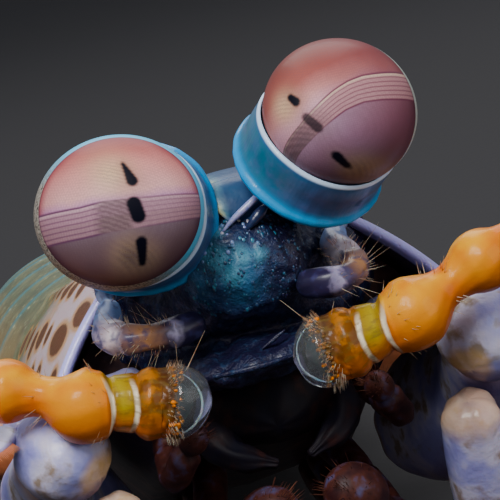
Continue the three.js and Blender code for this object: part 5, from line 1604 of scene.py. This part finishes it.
heel_shell, tree, shader = finish("heel_shell", Roughness=0.22, Coat_Weight=0.6, Coat_Roughness=0.08,
    Subsurface_Weight=0.1, Subsurface_Scale=0.0008)
fine = noise(places(tree), 0.8, 4)
base = ramp(plus(mark(tree, "along"), times(fine, 0.15)), [(0.0, (0.8, 0.3, 0.2)),
    (0.35, (0.75, 0.07, 0.02)), (0.8, (0.6, 0.03, 0.02)), (1.0, (0.8, 0.5, 0.35))])
paint(shader, base)
bump(shader, fine, 0.00008, 0.4)
for name, s in SIDES:
    out = s * WRIST_SPREAD[name]
    elbow = (s * 11.4 + out, -5.4, 25.4)
    merus = tube([(s * 9.4, 14, 15.4), (s * 13.2, 4, 19.8), elbow],
        [(2.2, 1.8), (4.2, 2.7), (4.6, 3), (4, 2.8), (3, 2.3), (2.2, 1.8)], sides=56, steps=90,
        wide=(0, 0.3, 1), relief=dimples)
    piece(f"striker_upper_{name}", [merus], limb_paint, [f"raptorial_merus_{name}"])
    carpus = tube([(s * 11.4 + out, -5.9, 26), (s * 10.8 + out, -8.6, 26.6),
        (s * 9.2 + out, -10.4, 25.4)], [(1.6, 1.5), (2.6, 2.3), (2.7, 2.4), (1.7, 1.6)], sides=56,
        steps=60, wide=(0, 0, 1), relief=dimples)
    piece(f"striker_wrist_{name}", [carpus], limb_paint, [f"raptorial_carpus_{name}"])
    fist = np.array([s * 11.8, 1.5, 7.6])
    hand = tube([(s * 8.7 + out, -10.4, 23.8), (s * 9.8 + out, -6.6, 16.4), fist],
        [(1.4, 1.4), (2.4, 2), (2.9, 2.3), (2.7, 2.2), (2.3, 1.9), (1.8, 1.6)], sides=56, steps=90,
        wide=(0, 1, 0.5), relief=dimples)
    piece(f"striker_hand_{name}", [hand], limb_paint, [f"raptorial_propodus_{name}"])
    heel_at = fist + (s * 0.1, 2.2, -2.4)
    heel = ball(heel_at, frame_along((0, 0.7, -0.7)), (2.3, 2.1, 3), 48, 32)
    finger = tube([heel_at + (0, 0.4, 1), (s * 11.6, 2.2, 12.5), (s * 10.4, -2, 18)],
        [(1.5, 1.4), (1.2, 1), (0.9, 0.8), (0.6, 0.5), (0.05, 0.05)], sides=28, steps=60,
        wide=(0, 1, 0))
    piece(f"striker_hammer_{name}", [heel, finger], heel_shell,
        [f"raptorial_dactyl_{name}"])


# Mouth: the upper lip over the jaws with a teal brow line above it, and four pairs of small
# mouth legs, each a slim arm that ends in a soft oval hand with a brush of bristles. The lip, jaws,
# legs and their bristles are painted in near-black browns, as painted shade under the head.
def folds(t, angle, distance):
    return 0.08 * np.sin(angle * 6 + distance) + 0.06 * np.sin(distance * 3.2)


# Near-black lip and jaws: painted shade under the head.
lip_in_painted_shade = clouded("lip_in_painted_shade", 0.8, 5, [(0.3, (0.006, 0.006, 0.016)), (0.55, (0.012, 0.007, 0.011)),
    (0.75, (0.05, 0.014, 0.01))], (0.0001, 0.6), Roughness=0.55, Specular_IOR_Level=0.2)
lip = tube([(0, 0.7, 24.4), (-0.2, -2.8, 24.6), (-0.4, -5.4, 23.8)],
    [(5, 2.6), (4.8, 2.7), (3.8, 2.3), (1.6, 1.1)], sides=56, steps=60, wide=(1, 0, 0), relief=folds)
jaws = []
for s in (-1, 1):
    jaws.append(tube([(s * 3.6, -1.6, 24.4), (s * 3.2, -4.4, 22.8), (s * 0.9, -5.6, 21.8)],
        [1.3, 1.2, 0.8, 0.2], sides=24, steps=30, relief=folds))
piece("upper_lip", [lip, *jaws], lip_in_painted_shade, ["labrum"])
brow = [tube([(-3.68, -9.25, 28.6), (-1.46, -10.15, 28.7), (1.04, -9.9, 28.7)], [0.1, 0.16, 0.15, 0.08],
    sides=12, steps=30), tube([(-0.71, -8.8, 29.2), (0.75, -8.85, 29.9)], [0.06, 0.12, 0.06], sides=10,
    steps=12)]
piece("brow_line", brow, head_teal, ["head_front"])

MOUTH_HAIRS = 70
MOUTH_LEGS = [("first", (5.6, 1.6, 24), (6.6, -4.6, 22.4), (5.6, -6.6, 24.4), 1.1),
    ("third", (3.6, 6, 19.4), (5.2, -4, 16.4), (3.4, -6.6, 18.6), 2.3),
    ("fourth", (4, 12, 16.4), (5, 1, 12.6), (3.2, -3.8, 13.6), 2.1),
    ("fifth", (4.2, 18, 14), (5, 8, 9.6), (3.4, 2.4, 9.2), 1.8)]
# Near-black mouth legs and bristles: painted shade under the head.
mouth_legs_in_painted_shade = clouded("mouth_legs_in_painted_shade", 1.1, 4, [(0.35, (0.03, 0.007, 0.008)),
    (0.55, (0.07, 0.018, 0.012)), (0.7, (0.07, 0.055, 0.12))], (0.00008, 0.5), Roughness=0.5,
    Specular_IOR_Level=0.25, Subsurface_Weight=0.05, Subsurface_Scale=0.0004)
hair_in_painted_shade = clouded("mouth_hair_in_painted_shade", 1.4, 2, [(0.35, (0.05, 0.012, 0.01)), (0.62, (0.2, 0.07, 0.04))],
    Roughness=0.6, Specular_IOR_Level=0.2)
for name, s in SIDES:
    for label, root, bend, end, size in MOUTH_LEGS:
        root, bend, end = (np.array((s * p[0], p[1], p[2]), float) for p in (root, bend, end))
        arm = tube([root, bend, end], [1.1, 1, 0.85, 0.8, 0.9], sides=24, steps=50, relief=creases)
        reach = unit(end - bend)
        palm = end + reach * size * 0.8
        hand = ball(palm, frame_along(reach), (size * 0.75, size * 0.75, size), 32, 22)
        nodes = [f"maxilliped_{label}_{name}"]
        piece(f"mouth_leg_{label}_{name}", [arm, hand], mouth_legs_in_painted_shade, nodes)
        chance = random.Random(120 + 7 * s + len(label))
        roots = []
        for _ in range(MOUTH_HAIRS):
            x, y, z = frame_along(reach)
            turn, tilt = chance.uniform(0, 2 * math.pi), chance.uniform(0, 1.2)
            out = z * math.cos(tilt) + (x * math.cos(turn) + y * math.sin(turn)) * math.sin(tilt)
            at = palm + (z * math.cos(tilt) + (x * math.cos(turn)
                + y * math.sin(turn)) * math.sin(tilt) * 0.75) * size * 0.97
            roots.append((at, out + reach * 0.6, chance.uniform(0.4, 0.9), 0.025))
        bristles(f"mouth_brush_{label}_{name}", roots, hair_in_painted_shade, nodes, sides=4)


size = [[list(corner) for corner in cad_box], [list(corner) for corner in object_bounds()]]
